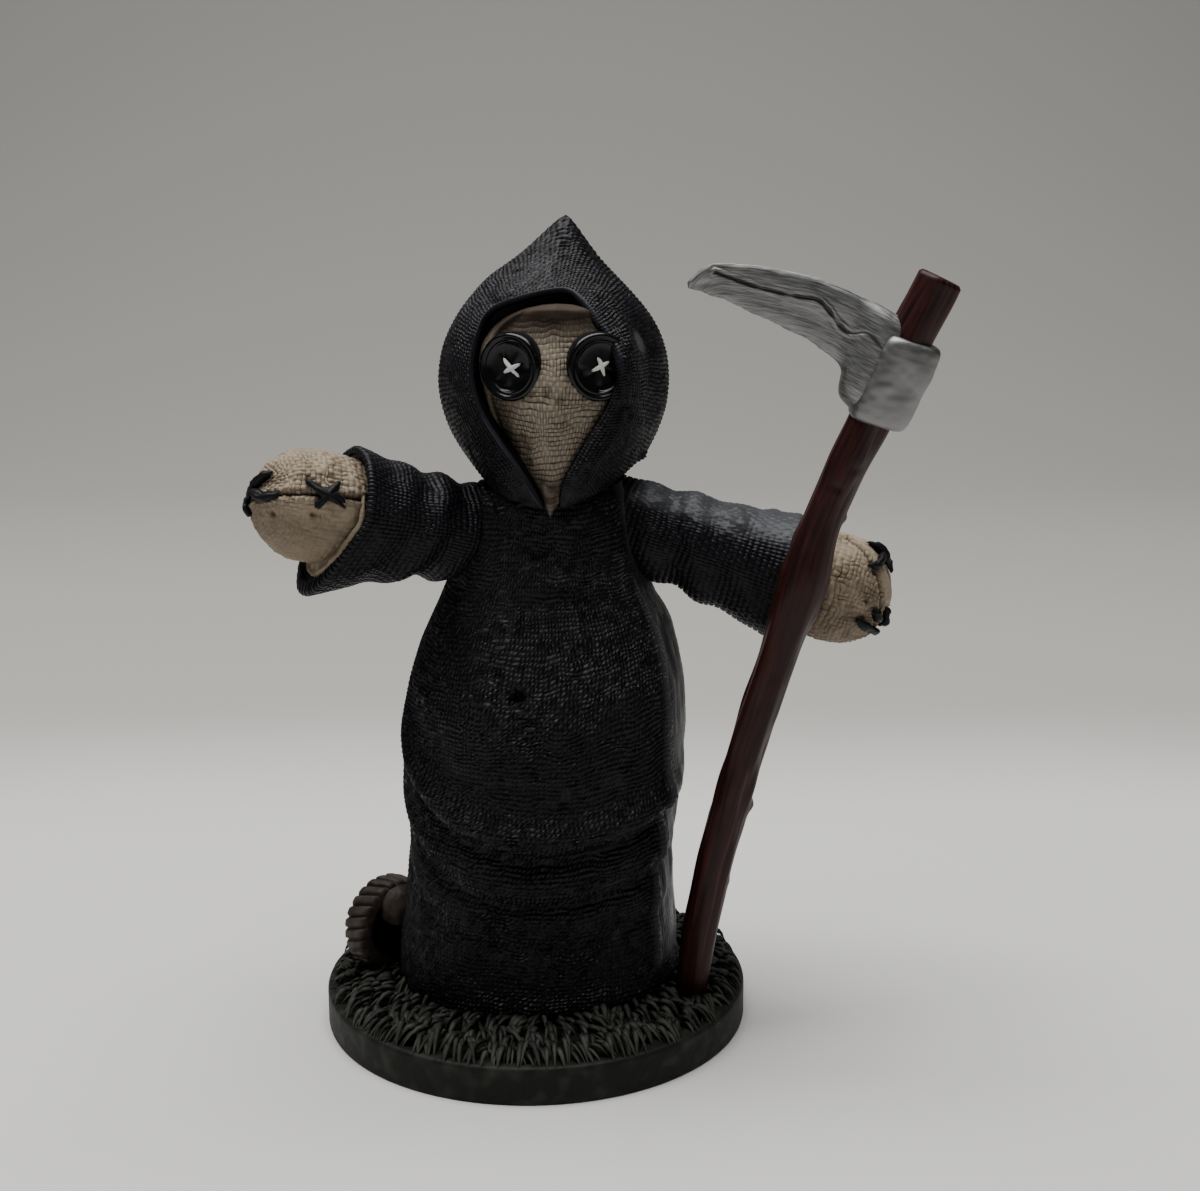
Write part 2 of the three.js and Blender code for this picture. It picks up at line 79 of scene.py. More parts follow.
# Height, middle X, half width, depth to the front and depth to the back
ROBE_STATIONS = [
    [3.5, 0.3, 20.3, 18.9, 16.4],
    [13, 0.4, 20.0, 18.6, 16.0],
    [20, 0.6, 19.3, 18.2, 15.4],
    [27, 1.0, 18.9, 18.6, 15.0],
    [35, 1.3, 19.6, 20.0, 15.0],
    [43, 1.7, 20.0, 20.8, 14.8],
    [51, 2.1, 19.3, 19.9, 14.2],
    [58, 2.5, 17.2, 17.6, 13.2],
    [64, 2.5, 14.4, 15.8, 12.0],
    [70, 2.7, 12.4, 15.2, 11.0],
    [77, 2.9, 10.6, 14.4, 10.4],
    [84, 3.4, 8.0, 9.0, 8.0],
]
ROBE_SQUARENESS = 2.25
# Sagging folds: height at the front, rise to the side, how much more the -X side rises, depth
ROBE_FOLDS = [(29.3, 14.5, 6.5, 1.8), (22.3, 11.0, 5.0, 1.4), (16.5, 8.0, 4.0, 0.6)]
# Roll of a fold: how far above its crease, and width. Groove: share of its depth, and width
FOLD_ROLL = (2.8, 3.0)
FOLD_GROOVE = (0.5, 1.3)
# Swell under the head: angle and height of its middle, how it sags, its height and widths
COLLAR = {"angle": 0.14, "height": 66.5, "sag": 6, "swell": 0.5, "width": 1.8, "spread": 0.55}
BELLY_RADIUS = 20.0
BELLY_HEIGHT = 44.0
NAVEL = {"angle": -0.19, "height": 52.0, "radius": 0.95, "depth": 1.5}
PARTING_ANGLE = math.radians(56)

# Hood, measured from the head's middle
HEAD_MIDDLE = np.array([3.6, 1.5, 92.0])
HEAD_TURN = math.radians(-4)
HEAD_RADIUS = 15.8
# Swells of the hood: direction, height, spread in radians and power of the falloff
HOOD_SWELLS = [
    ((0.08, 0, 1), 6.15, 0.235, 1.3),
    ((-0.35, 0, 1), 0.6, 0.4, 2),
    ((-0.05, -1, 0.2), 2.2, 0.9, 2),
    ((0, -0.72, -0.69), 5.6, 0.5, 2),
    ((0.76, -0.2, -0.62), 0.7, 0.06, 1.5),
]

# Face opening, clockwise from the top: share of the way round, then X and Z of the outer and of
# the inner edge of the lip
OPENING_STATIONS = [
    [0, 1.5, 13.0, 1.3, 12.3],
    [0.025, 3.3, 12.75, 2.9, 12.1],
    [0.055, 4.9, 11.7, 4.2, 11.1],
    [0.11, 7.4, 9.0, 6.2, 8.6],
    [0.16, 9.5, 6.0, 8.4, 5.6],
    [0.21, 10.7, 2.7, 9.5, 2.2],
    [0.27, 10.9, -1.2, 8.5, -1.3],
    [0.34, 9.5, -5.3, 6.3, -5.3],
    [0.4, 7.4, -8.6, 4.2, -8.6],
    [0.46, 5.1, -12.4, 2.4, -12.2],
    [0.53, 1.9, -16.4, 1.4, -15.6],
    [0.55, 0.7, -17.5, 0.7, -16.6],
    [0.58, -0.4, -15.9, 0, -15.2],
    [0.66, -3.4, -10.2, -3.0, -10.0],
    [0.73, -6.2, -6.4, -5.8, -6.2],
    [0.8, -8.6, -2.6, -8.2, -2.5],
    [0.86, -9.75, 2.0, -9.4, 2.0],
    [0.91, -9.3, 6.5, -8.9, 6.3],
    [0.955, -7.0, 10.6, -6.7, 10.1],
    [0.98, -2.4, 12.3, -2.2, 11.65],
    [1, 1.5, 13.0, 1.3, 12.3],
]
RECESS_FLOOR = np.array([1, -8.5, 0])
# Direction and distance of the smooth spot on the lip
HOOD_SPOT = ([13.2, -10.5, 6.4], 17.4)
# Wall from the recess floor up to the lip: share of the way drawn in, share of the depth set back
RECESS_WALL = [[0.03, 1.0], [0.03, 0.8], [0.03, 0.5], [0.028, 0.3], [0.022, 0.12], [0.01, 0.03]]

# Mask, measured from the head's middle: its middle's X, how far the beak's tip stands to -X of
# that, its half width, and the heights of its widest place and its top, and the tip's depth below
MASK_X = 1.4
MASK_LEAN = 0.9
MASK_HALF_WIDTH = 10.4
MASK_SHOULDER = 3.0
MASK_BROW = 10.85
MASK_BEAK = 18.5
MASK_EDGE_Y = -11.0
MASK_THICKNESS = 4.0
# Height on the mask, and how far its ridge stands forward there
RIDGE_HEIGHTS = [
    [-18.5, 4.4], [-14, 5.6], [-7, 6.8], [0, 6.6], [5, 5.0], [8.2, 3.4], [10.85, 2.6],
]
BUTTON_RADIUS = 4.5
# A button's middle, out from the mask's middle, and how far it is turned outward
BUTTON_SEAT = (5.4, -13.8, 2.9)
BUTTON_SPLAY = math.radians(24)
# Share of the radius and height, from the middle of the back round to the middle of the dish
BUTTON_PROFILE = [
    [0, -2.5], [0.9, -2.5], [0.97, -2.4], [1.0, -1.0], [1.0, 0.9], [0.985, 1.2], [0.96, 1.42],
    [0.925, 1.55], [0.89, 1.58], [0.855, 1.52], [0.825, 1.4], [0.8, 1.3], [0.785, 1.3],
    [0.77, 1.38], [0.75, 1.42], [0.73, 1.38], [0.70, 1.2], [0.66, 1.05], [0.6, 0.97],
    [0.5, 0.93], [0.3, 0.92], [0, 0.92],
]
# Strands on each button, -X and +X: ends across and up from its middle
EYE_STRANDS = {
    -1: (((-1.7, 0.5), (0.95, -0.8)), ((0.95, 1.15), (-1.45, -1.27))),
    1: (((-1.3, 0.69), (1.2, -0.5)), ((0.35, 1.3), (-0.6, -1.22))),
}

# Sleeves and the stub hands in them. Slant and droop are how far the lower side of the mouth
# runs on and hangs down. The seam is the direction square to its plane. A strand is given by
# three directions from the hand's middle, a hole by one, and knobs is their height's share
ARMS = {
    "left": {
        "shoulder": [-4, -1.5, 70.4],
        "mouth": [-24.2, -12.0, 75.9],
        "radii": (6.6, 8.9),
        "droop": 3.0,
        "slant": 3.8,
        "hand": [-28.5, -14.2, 77.2],
        "hand_radius": 7.9,
        "knobs": 1.0,
        "seam": [0, -0.34, -0.94],
        "holes": [[0.142, -0.792, 0.593], [0.515, -0.613, 0.599], [0.243, -0.97, -0.011],
                  [-0.461, -0.887, -0.004], [0.78, -0.6, 0.16]],
        "strands": [
            [[0.115, -0.837, 0.535], [0.45, -0.82, 0.34], [0.76, -0.643, 0.096]],
            [[0.641, -0.631, 0.438], [0.45, -0.84, 0.28], [0.277, -0.956, 0.1]],
            [[-0.428, -0.652, 0.625], [-0.66, -0.55, 0.51], [-0.93, -0.32, 0.19]],
            [[-0.93, -0.32, 0.19], [-0.95, -0.29, 0.02], [-0.898, -0.422, -0.128]],
            [[-0.83, -0.50, 0.36], [-0.60, -0.76, 0.26], [-0.30, -0.90, 0.33]],
        ],
    },
    "right": {
        "shoulder": [9, -1, 74.0],
        "mouth": [35.0, -3.6, 65.5],
        "radii": (6.2, 8.6),
        "droop": 0.4,
        "slant": 0.5,
        "hand": [42.3, -4.2, 63.7],
        "hand_radius": 8.0,
        "knobs": 0.6,
        "seam": [0.72, 0.68, 0.1],
        "holes": [[0.431, -0.899, -0.081], [-0.152, -0.736, 0.659], [0.55, -0.72, 0.42],
                  [0.36, -0.84, -0.4]],
        "strands": [
            [[0.477, -0.218, 0.852], [0.76, -0.12, 0.64], [0.883, -0.331, 0.333]],
            [[0.774, -0.10, 0.634], [0.66, -0.55, 0.52], [0.421, -0.743, 0.521]],
            [[0.202, -0.906, -0.371], [0.46, -0.68, -0.57], [0.657, -0.276, -0.702]],
            [[0.495, -0.837, -0.233], [0.62, -0.68, -0.38], [0.687, -0.534, -0.494]],
            [[0.816, -0.529, -0.234], [0.82, -0.40, -0.41], [0.724, -0.271, -0.634]],
        ],
    },
}
FLARE_POWER = 2.6
MOUTH_WALL = 1.1

# Base, and the ribbed round that stands behind the robe
BASE_RADIUS = 30.5
BASE_HEIGHT = 5.3
BASE_CORNER = 0.7
# X and height of the chip in the base's front wall
BASE_CHIP = (23.2, 3.4)
GRASS_RINGS = [16.6, 19.2, 21.6, 23.8, 25.8, 27.2]
# X and Y of a patch of low grass
LOW_PATCH = [6.5, -27.5]
ROUND_PLACE = np.array([-21.5, 1.2, 12.4])
ROUND_RADIUS = 7.0
ROUND_THICKNESS = 4.4
ROUND_FACING = math.radians(44)
ROUND_RIBS = 24
ROUND_TWIST = -0.2
# Share of the radius and depth behind the face, from the face's middle to the back's
ROUND_PROFILE = [
    [0, 1.3], [0.3, 1.3], [0.58, 1.25], [0.64, 0.9], [0.68, 0.25], [0.72, 0.02], [0.8, 0],
    [0.88, 0.0], [0.93, 0.06], [0.97, 0.2], [0.995, 0.45], [1, 0.8], [1, 1.6], [1, 2.4],
    [1, 3.2], [1, 3.7], [0.985, 4.1], [0.94, 4.35], [0.88, 4.4], [0.4, 4.4], [0, 4.4],
]
LUMP_PLACE = np.array([-20.0, -0.6, 15.9])
LUMP_RADIUS = 3.0

# Scythe: middle line and radius of the shaft, from the foot up
SHAFT_STATIONS = [
    [21.8, -8.9, 3.6, 2.1],
    [24.2, -10.3, 20.3, 2.45],
    [28.7, -12.1, 40.2, 2.5],
    [34.4, -13.9, 59.7, 2.6],
    [38.3, -15.3, 74.2, 2.5],
    [44.1, -16.5, 87.8, 2.8],
    [49.5, -17.6, 100.0, 2.9],
    [52.4, -18.2, 106.2, 2.9],
]
SHAFT_LENGTH = 108.0
# Knots: share of the way up, angle round the shaft, height, width in radians and length in mm
SHAFT_KNOTS = [
    (0.30, 0.2, 0.75, 0.35, 1.1), (0.655, 3.0, 0.25, 0.4, 1.6), (0.695, 0.1, 0.35, 0.3, 0.6),
    (0.565, -0.1, 0.35, 0.3, 0.7), (0.19, 0.1, 0.2, 0.3, 0.8), (0.61, 3.0, 0.4, 0.4, 1.0),
    (0.76, -1.2, -0.3, 0.3, 0.7), (0.73, -1.7, -0.25, 0.3, 0.5), (0.47, -1.4, 0.15, 0.4, 1.5),
]
BLADE_Y = -17.3
# X and Z of the blade's back, of its cutting edge and of the groove along it
BLADE_TOP = [
    [49.0, 100.6], [43.3, 103.6], [38.1, 105.8], [32.8, 107.2], [27.7, 107.9], [23.2, 107.7],
    [20.5, 105.3],
]
BLADE_BELLY = [
    [43.0, 88.4], [40.2, 91.6], [40.3, 95.0], [37.4, 97.6], [30.4, 101.2], [25.4, 103.5],
    [20.5, 105.1],
]
BLADE_GROOVE = [
    [45.7, 94.4], [45.7, 96.3], [44.3, 98.4], [43.2, 99.4], [41.2, 99.4], [40.0, 100.3],
    [38.7, 102.0], [37.3, 103.4], [34.8, 103.9], [30.7, 104.8], [27.1, 105.9], [24.3, 106.9],
]
# Thickness at the root and at the tip
BLADE_THICKNESS = (3.0, 0.9)
# Share of the way from the back to the edge, and share of the half thickness there
BLADE_BEVEL = [[0, 0.72], [0.1, 1], [0.42, 1], [0.56, 0.7], [0.9, 0.4], [1, 0.12]]
# Half the thickness of the root where it meets the socket
ROOT_SWELL = 2.7
# Share of the blade's curves at which its tip is cut blunt
BLADE_END = 0.985
# Ends of the socket, in shares of the shaft, and its profile: shares of its radius and length
SOCKET_FROM = 0.815
SOCKET_TO = 0.922
SOCKET_RADIUS = 3.9
SOCKET_LENGTH = 11
# How far the socket's middle lies to the right of the shaft's
SOCKET_ASIDE = 0.7
SOCKET_PROFILE = [
    [0, 0.0], [0.72, 0.0], [0.84, 0.01], [0.92, 0.04], [0.97, 0.1], [1.0, 0.2], [1.0, 0.35],
    [0.99, 0.5], [1.0, 0.65], [1.0, 0.8], [0.97, 0.9], [0.93, 0.955], [0.86, 0.99],
    [0.76, 1.0], [0, 1.0],
]


def linear(colour):
    """Linear colour from sRGB hex: c / 12.92 below 0.04045, else ((c + 0.055) / 1.055) ^ 2.4."""
    channels = np.array([int(colour[i:i + 2], 16) for i in (1, 3, 5)]) / 255
    curved = ((channels + 0.055) / 1.055) ** 2.4
    return (*np.where(channels <= 0.04045, channels / 12.92, curved).tolist(), 1.0)


def smoothstep(value, low, high):
    """0 below low, 1 above high, and s^2 (3 - 2 s) between them."""
    share = np.clip((np.asarray(value, float) - low) / (high - low), 0, 1)
    return share * share * (3 - 2 * share)


def plateau(value, start, full, fall, end):
    """A smoothstep up from start to full, and one down from fall to end."""
    return smoothstep(value, start, full) * smoothstep(-value, -end, -fall)


def bell(distance, width):
    """exp(-(distance / width)^2)."""
    return np.exp(-((np.asarray(distance) / width) ** 2))


def unit(vectors):
    """Vectors divided by their lengths."""
    vectors = np.asarray(vectors, float)
    return vectors / np.maximum(np.linalg.norm(vectors, axis=-1, keepdims=True), 1e-9)


def points_at(x, y, z):
    """Points from arrays of coordinates that stretch to each other's shape."""
    return np.stack(np.broadcast_arrays(x, y, z), axis=-1)


def round_turn(count):
    """Angles of count equal steps once round."""
    return 2 * np.pi * np.arange(count) / count


def spokes(turn, right, up):
    """Vectors cos(turn) right + sin(turn) up."""
    return np.cos(turn)[..., None] * right + np.sin(turn)[..., None] * up


def turned(points, angle):
    """Points turned about the upright axis."""
    c, s = math.cos(angle), math.sin(angle)
    return np.asarray(points) @ np.array([[c, s, 0], [-s, c, 0], [0, 0, 1]])


def length_along(points, weight=1.0):
    """Length of a line up to each of its points, with a weight for each step."""
    steps = np.linalg.norm(np.diff(points, axis=0), axis=1)
    return np.append(0, np.cumsum(steps * weight))


def spread_along(line, places, shares, weight=1.0):
    """Places at shares of a line's length, from its points and the place of each."""
    length = length_along(line, weight)
    return np.interp(shares * length[-1], length, places)


def smooth_between(stations, places):
    """Cubic Hermite curve through rows of [place, values...].

    The slope at a row is the mean of the slopes of the two stretches that meet there.
    """
    table = np.asarray(stations, float)
    knots, values = table[:, 0], table[:, 1:]
    steps = np.diff(knots)[:, None]
    secants = np.diff(values, axis=0) / steps
    slopes = np.concatenate([secants[:1], (secants[1:] + secants[:-1]) / 2, secants[-1:]])
    places = np.asarray(places, float)
    low = np.clip(np.searchsorted(knots, places, side="right") - 1, 0, len(knots) - 2)
    step = steps[low]
    share = np.clip((places[..., None] - knots[low][..., None]) / step, 0, 1)
    square, cube = share ** 2, share ** 3
    return (
        (2 * cube - 3 * square + 1) * values[low]
        + (cube - 2 * square + share) * step * slopes[low]
        + (3 * square - 2 * cube) * values[low + 1]
        + (cube - square) * step * slopes[low + 1]
    )


def along_points(points, shares):
    """Smooth curve through points, each at its share of the whole length measured straight."""
    length = length_along(points)
    return smooth_between(np.column_stack([length / length[-1], points]), shares)


def noise(points, size, seed):
    """Noise from -1 to 1: random values on a cubic lattice of that size, blended smoothly."""
    cells = 32
    lattice = np.random.default_rng(seed).uniform(-1, 1, (cells, cells, cells))
    place = np.asarray(points, float) / size
    corner = np.floor(place).astype(int)
    share = place - corner
    share = share * share * (3 - 2 * share)
    total = 0.0
    for step in np.ndindex(2, 2, 2):
        weight = np.prod(np.where(step, share, 1 - share), axis=-1)
        index = np.moveaxis((corner + np.array(step)) % cells, -1, 0)
        total = total + weight * lattice[tuple(index)]
    return total


def rough(points, *layers):
    """Sum of noises, each given as its height, the size of its lattice and its seed."""
    return sum(height * noise(points, size, seed) for height, size, seed in layers)


def uneven(points, gain, size, seed, low=0.0, high=2.0):
    """1 plus gain times noise, kept from low to high."""
    return np.clip(1 + gain * noise(points, size, seed), low, high)


def outward(grid):
    """Unit normals of a grid: the cross product of its steps round it and its steps up it."""
    around = np.roll(grid, -1, axis=1) - np.roll(grid, 1, axis=1)
    return unit(np.cross(around, np.gradient(grid, axis=0)))


def thread_lines(count, marks=(0, 0.2, 0.8)):
    """Shares of the way over count threads: each thread's groove and the points of its top.

    Returns them with 1 at each groove and 0 elsewhere.
    """
    places = (np.arange(count)[:, None] + np.array(marks)).ravel()
    return places / count, np.tile([1.0] + [0.0] * (len(marks) - 1), count)


def weave(rows, columns, row_depth, column_depth, lift):
    """Height of plain weave over the cloth's middle, and its relief from 0, groove, to 1, top.

    A groove sinks by its depth, the deeper one where two cross, and the tops between them
    stand up or down by lift in turn, like the squares of a chessboard.
    """
    row_groove, column_groove = rows[:, None], columns[None, :]
    sunk = np.maximum(row_depth * row_groove, column_depth * column_groove)
    over = 2 * ((np.cumsum(row_groove, axis=0) + np.cumsum(column_groove, axis=1)) % 2) - 1
    top = (1 - row_groove) * (1 - column_groove)
    # A top that sits down is 0.3 darker: painted shade of the threads that cross over it.
    relief = 1 - np.clip(sunk / FULL_WASH_DEPTH, 0, 1) - 0.3 * (1 - over) / 2 * top
    return lift * over * top - sunk, relief


def make_piece(name, points, faces, marks, material, node, smooth):
    """A piece from points in mm, arrays of faces that list their corners, and marks.

    Faces are turned over where the sum of a . (b x c) over their triangles is below zero.
    Marks are numbers or vectors for each point, kept as attributes.
    """
    volume = sum(
        np.sum(points[part[:, 0]] * np.cross(points[part[:, i]], points[part[:, i + 1]]))
        for part in faces for i in range(1, part.shape[1] - 1)
    )
    if volume < 0:
        faces = [part[:, ::-1] for part in faces]
    mesh = bpy.data.meshes.new(name)
    all_faces = [face for part in faces for face in part.tolist()]
    mesh.from_pydata((points * MM).tolist(), [], all_faces)
    mesh.polygons.foreach_set("use_smooth", np.full(len(mesh.polygons), smooth))
    for key, values in marks.items():
        kind, field = ("FLOAT_VECTOR", "vector") if values.ndim == 2 else ("FLOAT", "value")
        attribute = mesh.attributes.new(key, kind, "POINT")
        attribute.data.foreach_set(field, values.astype(np.float32).ravel())
    mesh.validate()
    mesh.materials.append(material)
    piece = bpy.data.objects.new(name, mesh)
    bpy.context.scene.collection.objects.link(piece)
    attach(piece, "root")
    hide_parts(node)
    return piece


def solid(name, grid, marks, material, node="figure", smooth=True):
    """A closed piece from grids of points [shell, row, column], or from one grid.

    Columns run once round. The first and the last row of a grid are its poles, each drawn
    together to the middle of its row. The mark "grain" is a vector, the others are numbers.
    """
    grid = np.array(grid, float)
    if grid.ndim == 3:
        grid = grid[None]
    grid[:, [0, -1]] = grid[:, [0, -1]].mean(axis=2, keepdims=True)
    shells, rows, columns, _ = grid.shape

    def pack(values, *tail):
        """Values for each point in one list, with one point for each pole."""
        values = np.broadcast_to(values, (shells, rows, columns, *tail))
        rings = values[:, 1:-1].reshape(shells, -1, *tail)
        packed = np.concatenate([values[:, 0, :1], rings, values[:, -1, :1]], axis=1)
        return packed.reshape(-1, *tail)

    count = (rows - 2) * columns + 2
    ring = 1 + np.arange(count - 2).reshape(rows - 2, columns)
    after = np.roll(ring, -1, axis=1)
    quads = np.stack([ring[:-1], after[:-1], after[1:], ring[1:]], axis=-1).reshape(-1, 4)
    low = points_at(0, after[0], ring[0])
    high = points_at(ring[-1], after[-1], count - 1)
    offsets = (np.arange(shells) * count)[:, None, None]
    ends = np.append(low, high, 0)
    faces = [(part + offsets).reshape(-1, part.shape[1]) for part in (quads, ends)]
    marks = {
        key: pack(value, 3) if key == "grain" else pack(value) for key, value in marks.items()
    }
    return make_piece(name, pack(grid, 3), faces, marks, material, node, smooth)


def tubes(paths, radii, sides):
    """Grids of rings round paths [tube, row, 3]: each ring stands square to its path.

    The first and the last ring shrink to poles. radii are for each tube and row.
    """
    paths = np.asarray(paths, float)
    radii = np.broadcast_to(np.asarray(radii, float), paths.shape[:2])
    heading = unit(np.gradient(paths, axis=1))
    level = np.where(np.abs(heading[..., 2:]) > 0.9, [1.0, 0, 0], [0, 0, 1.0])
    right = unit(np.cross(heading, level))
    up = np.cross(right, heading)
    spread = spokes(round_turn(sides), right[:, :, None], up[:, :, None])
    return paths[:, :, None] + radii[:, :, None, None] * spread


def rounded_ends(rows):
    """Width of a tube at each of its rows, 0 at both ends and 1 in the middle: sin^0.45."""
    return np.sin(np.pi * np.linspace(0, 1, rows)) ** 0.45


def add_node(tree, kind, inputs, output=0, **properties):
    """Adds a node and returns one of its outputs. An input is a value, or an output to link."""
    node = tree.nodes.new("ShaderNode" + kind)
    for key, value in properties.items():
        setattr(node, key, value)
    for key, value in inputs.items():
        if isinstance(value, bpy.types.NodeSocket):
            tree.links.new(value, node.inputs[key])
        else:
            node.inputs[key].default_value = value
    return node.outputs[output] if node.outputs else None


def clouds(tree, place, size, detail):
    """Noise from 0 to 1 in clouds of that size, in the units of place."""
    return add_node(tree, "TexNoise", {"Vector": place, "Scale": 1 / size, "Detail": detail})


def mark(tree, name, output="Fac"):
    """A mark of the piece's points."""
    return add_node(tree, "Attribute", {}, output, attribute_name=name)


def ramp(tree, value, low, high, start=0.0, end=1.0):
    """A value from low to high stretched to start to end, and kept between these."""
    return add_node(tree, "MapRange", {
        "Value": value, "From Min": low, "From Max": high, "To Min": start, "To Max": end,
    })


def blend(tree, share, dark, light):
    """Dark where share is 0, light where it is 1."""
    return add_node(tree, "Mix", {0: share, 6: dark, 7: light}, 2, data_type="RGBA")


def new_material(name):
    """A material with no nodes but its coordinates. Returns it, its tree and the coordinates."""
    material = bpy.data.materials.get(name) or bpy.data.materials.new(name)
    material.use_nodes = True
    tree = material.node_tree
    tree.nodes.clear()
    return material, tree, add_node(tree, "TexCoord", {}, "Object")


def add_shader(tree, colour, gloss, mirror, bump=None, metal=0.0):
    """The shader. gloss is its roughness, mirror the strength of its mirror reflection.

    bump is None or a height, its strength and its depth in mm.
    """
    inputs = {"Base Color": colour, "Roughness": gloss, "Metallic": metal,
              "Specular IOR Level": mirror}
    if bump:
        height, strength, depth = bump
        inputs["Normal"] = add_node(
            tree, "Bump", {"Height": height, "Strength": strength, "Distance": depth * MM})
    shader = add_node(tree, "BsdfPrincipled", inputs)
    add_node(tree, "OutputMaterial", {"Surface": shader})


def woven_paint(name, groove, thread, wash, worn_and_sheen, gloss, wash_amount, fibre):
    """Acrylic paint on cast cloth: matt with a slight satin, darker where it ran into grooves.

    groove, thread, wash and worn are linear colours. gloss is the roughness, wash_amount how
    much of the cloth the thin wash stains, and fibre the depth in mm of the finest grain.
    """
    material, tree, place = new_material(name)
    cloud = clouds(tree, place, 3 * MM, 5.0)
    grain = clouds(tree, place, 0.35 * MM, 3.0)
    fuzz = add_node(tree, "Math", {0: grain, 1: 0.9, 2: -0.45}, operation="MULTIPLY_ADD")
    level = add_node(tree, "Math", {0: mark(tree, "relief"), 1: fuzz},
                     operation="ADD", use_clamp=True)
    spots = ramp(tree, cloud, 0.68 - wash_amount, 0.84 - wash_amount)
    # The mark that brings in the wash colour holds stains, and on the mask and the hands also
    # painted shade.
    stain_and_shade_share = add_node(tree, "Math", {0: spots, 1: mark(tree, "stain_and_shade")},
                       operation="MAXIMUM", use_clamp=True)
    thin = add_node(tree, "Math", {0: stain_and_shade_share, 1: 0.9}, operation="MULTIPLY")
    washed = blend(tree, thin, blend(tree, level, groove, thread), wash)
    # The mark that brings in the pale rubbed colour holds rubbed paint, and on the robe and the
    # right sleeve also painted highlights and reflections.
    add_shader(tree, blend(tree, mark(tree, "worn_and_sheen"), washed, worn_and_sheen),
               ramp(tree, cloud, 0.3, 0.7, gloss - 0.07, gloss + 0.09), 0.16,
               (grain, 0.8, fibre))
    return material


def plain_paint(name, dark, light, gloss, size, depth, mirror=0.18):
    """Brushed or thin acrylic paint on a smooth casting: two shades in clouds of that size in mm.

    gloss is the roughness and depth the depth in mm of the paint's fine lumps.
    """
    material, tree, place = new_material(name)
    cloud = clouds(tree, place, size * MM, 6.0)
    lumps = clouds(tree, place, size * MM / 4, 4.0)
    shade = add_node(tree, "Math", {0: mark(tree, "relief"), 1: cloud},
                     operation="MULTIPLY", use_clamp=True)
    add_shader(tree, blend(tree, ramp(tree, shade, 0.25, 0.7), dark, light),
               ramp(tree, lumps, 0.3, 0.7, gloss - 0.06, gloss + 0.08), mirror,
               (lumps, 0.7, depth))
    return material


def streaked_paint(name, dark, light, gloss, metal, streak, depth, spread):
    """Paint that shows the strokes or the grain under it, along the piece's own "grain".

    The mark holds millimetres, shortened along the strokes. streak is their width in mm,
    metal is above 0 for a paint of fine metal flakes, depth the strokes' depth in mm, and
    spread how far from its middle the noise goes from dark to light.
    """
    material, tree, place = new_material(name)
    strokes = clouds(tree, mark(tree, "grain", "Vector"), streak, 5.0)
    blots = clouds(tree, place, 2.5 * MM, 4.0)
    shade = ramp(tree, strokes, 0.5 - spread, 0.5 + spread)
    blotted = ramp(tree, blots, 0.3, 0.7, 0.82 if metal else 0.55)
    mixed = add_node(tree, "Math", {0: shade, 1: blotted}, operation="MULTIPLY")
    sunk = add_node(tree, "Math", {0: mixed, 1: mark(tree, "relief")},
                    operation="MULTIPLY", use_clamp=True)
    add_shader(tree, blend(tree, sunk, dark, light),
               ramp(tree, strokes, 0.3, 0.7, gloss - 0.06, gloss + 0.1), 0.5 if metal else 0.2,
               (strokes, 0.8, depth), metal)
    return material


def robe_surface(angle, height):
    """Points of the robe, bare of weave, and how deep in a fold's crease, and in the navel, each
    is, 0 to 1; the robe's colour is darkened by it as painted shade.

    Across, the section is |x|^n + |y|^n = 1 scaled to the half width and depth at the height.
    A fold's crease rises as 1 - cos(angle). Its groove and the roll above it are bell shaped.
    """
    middle, half_width, front, back = np.moveaxis(smooth_between(ROBE_STATIONS, height), -1, 0)
    power = ROBE_SQUARENESS
    square = (np.abs(np.sin(angle)) ** power + np.abs(np.cos(angle)) ** power) ** (-1 / power)
    facing = smoothstep(np.cos(angle), 0.1, 0.6)
    relief = crease = 0.0
    for low, rise, lean, depth in ROBE_FOLDS:
        above = height - low - (rise - lean * np.sin(angle)) * (1 - np.cos(angle))
        groove = bell(above, FOLD_GROOVE[1])
        roll = bell(above - FOLD_ROLL[0], FOLD_ROLL[1])
        relief = relief + facing * depth * (roll - FOLD_GROOVE[0] * groove)
        crease = np.maximum(crease, facing * depth * bell(above + 0.4, 1.3))
    aside = angle - COLLAR["angle"]
    above = height - (COLLAR["height"] - COLLAR["sag"] * aside ** 2)
    swell = COLLAR["swell"] * bell(above, COLLAR["width"]) * bell(aside, COLLAR["spread"])
    relief = relief + swell
    off_navel = np.hypot((angle - NAVEL["angle"]) * BELLY_RADIUS, height - NAVEL["height"])
    pit = bell(off_navel, NAVEL["radius"])
    relief = relief - NAVEL["depth"] * pit
    depth = np.where(np.cos(angle) > 0, front, back)
    points = points_at(
        middle + (half_width * square + relief) * np.sin(angle),
        ROBE_MIDDLE_Y - (depth * square + relief) * np.cos(angle),
        height,
    )
    return points, np.clip(np.maximum(crease, pit), 0, 1)


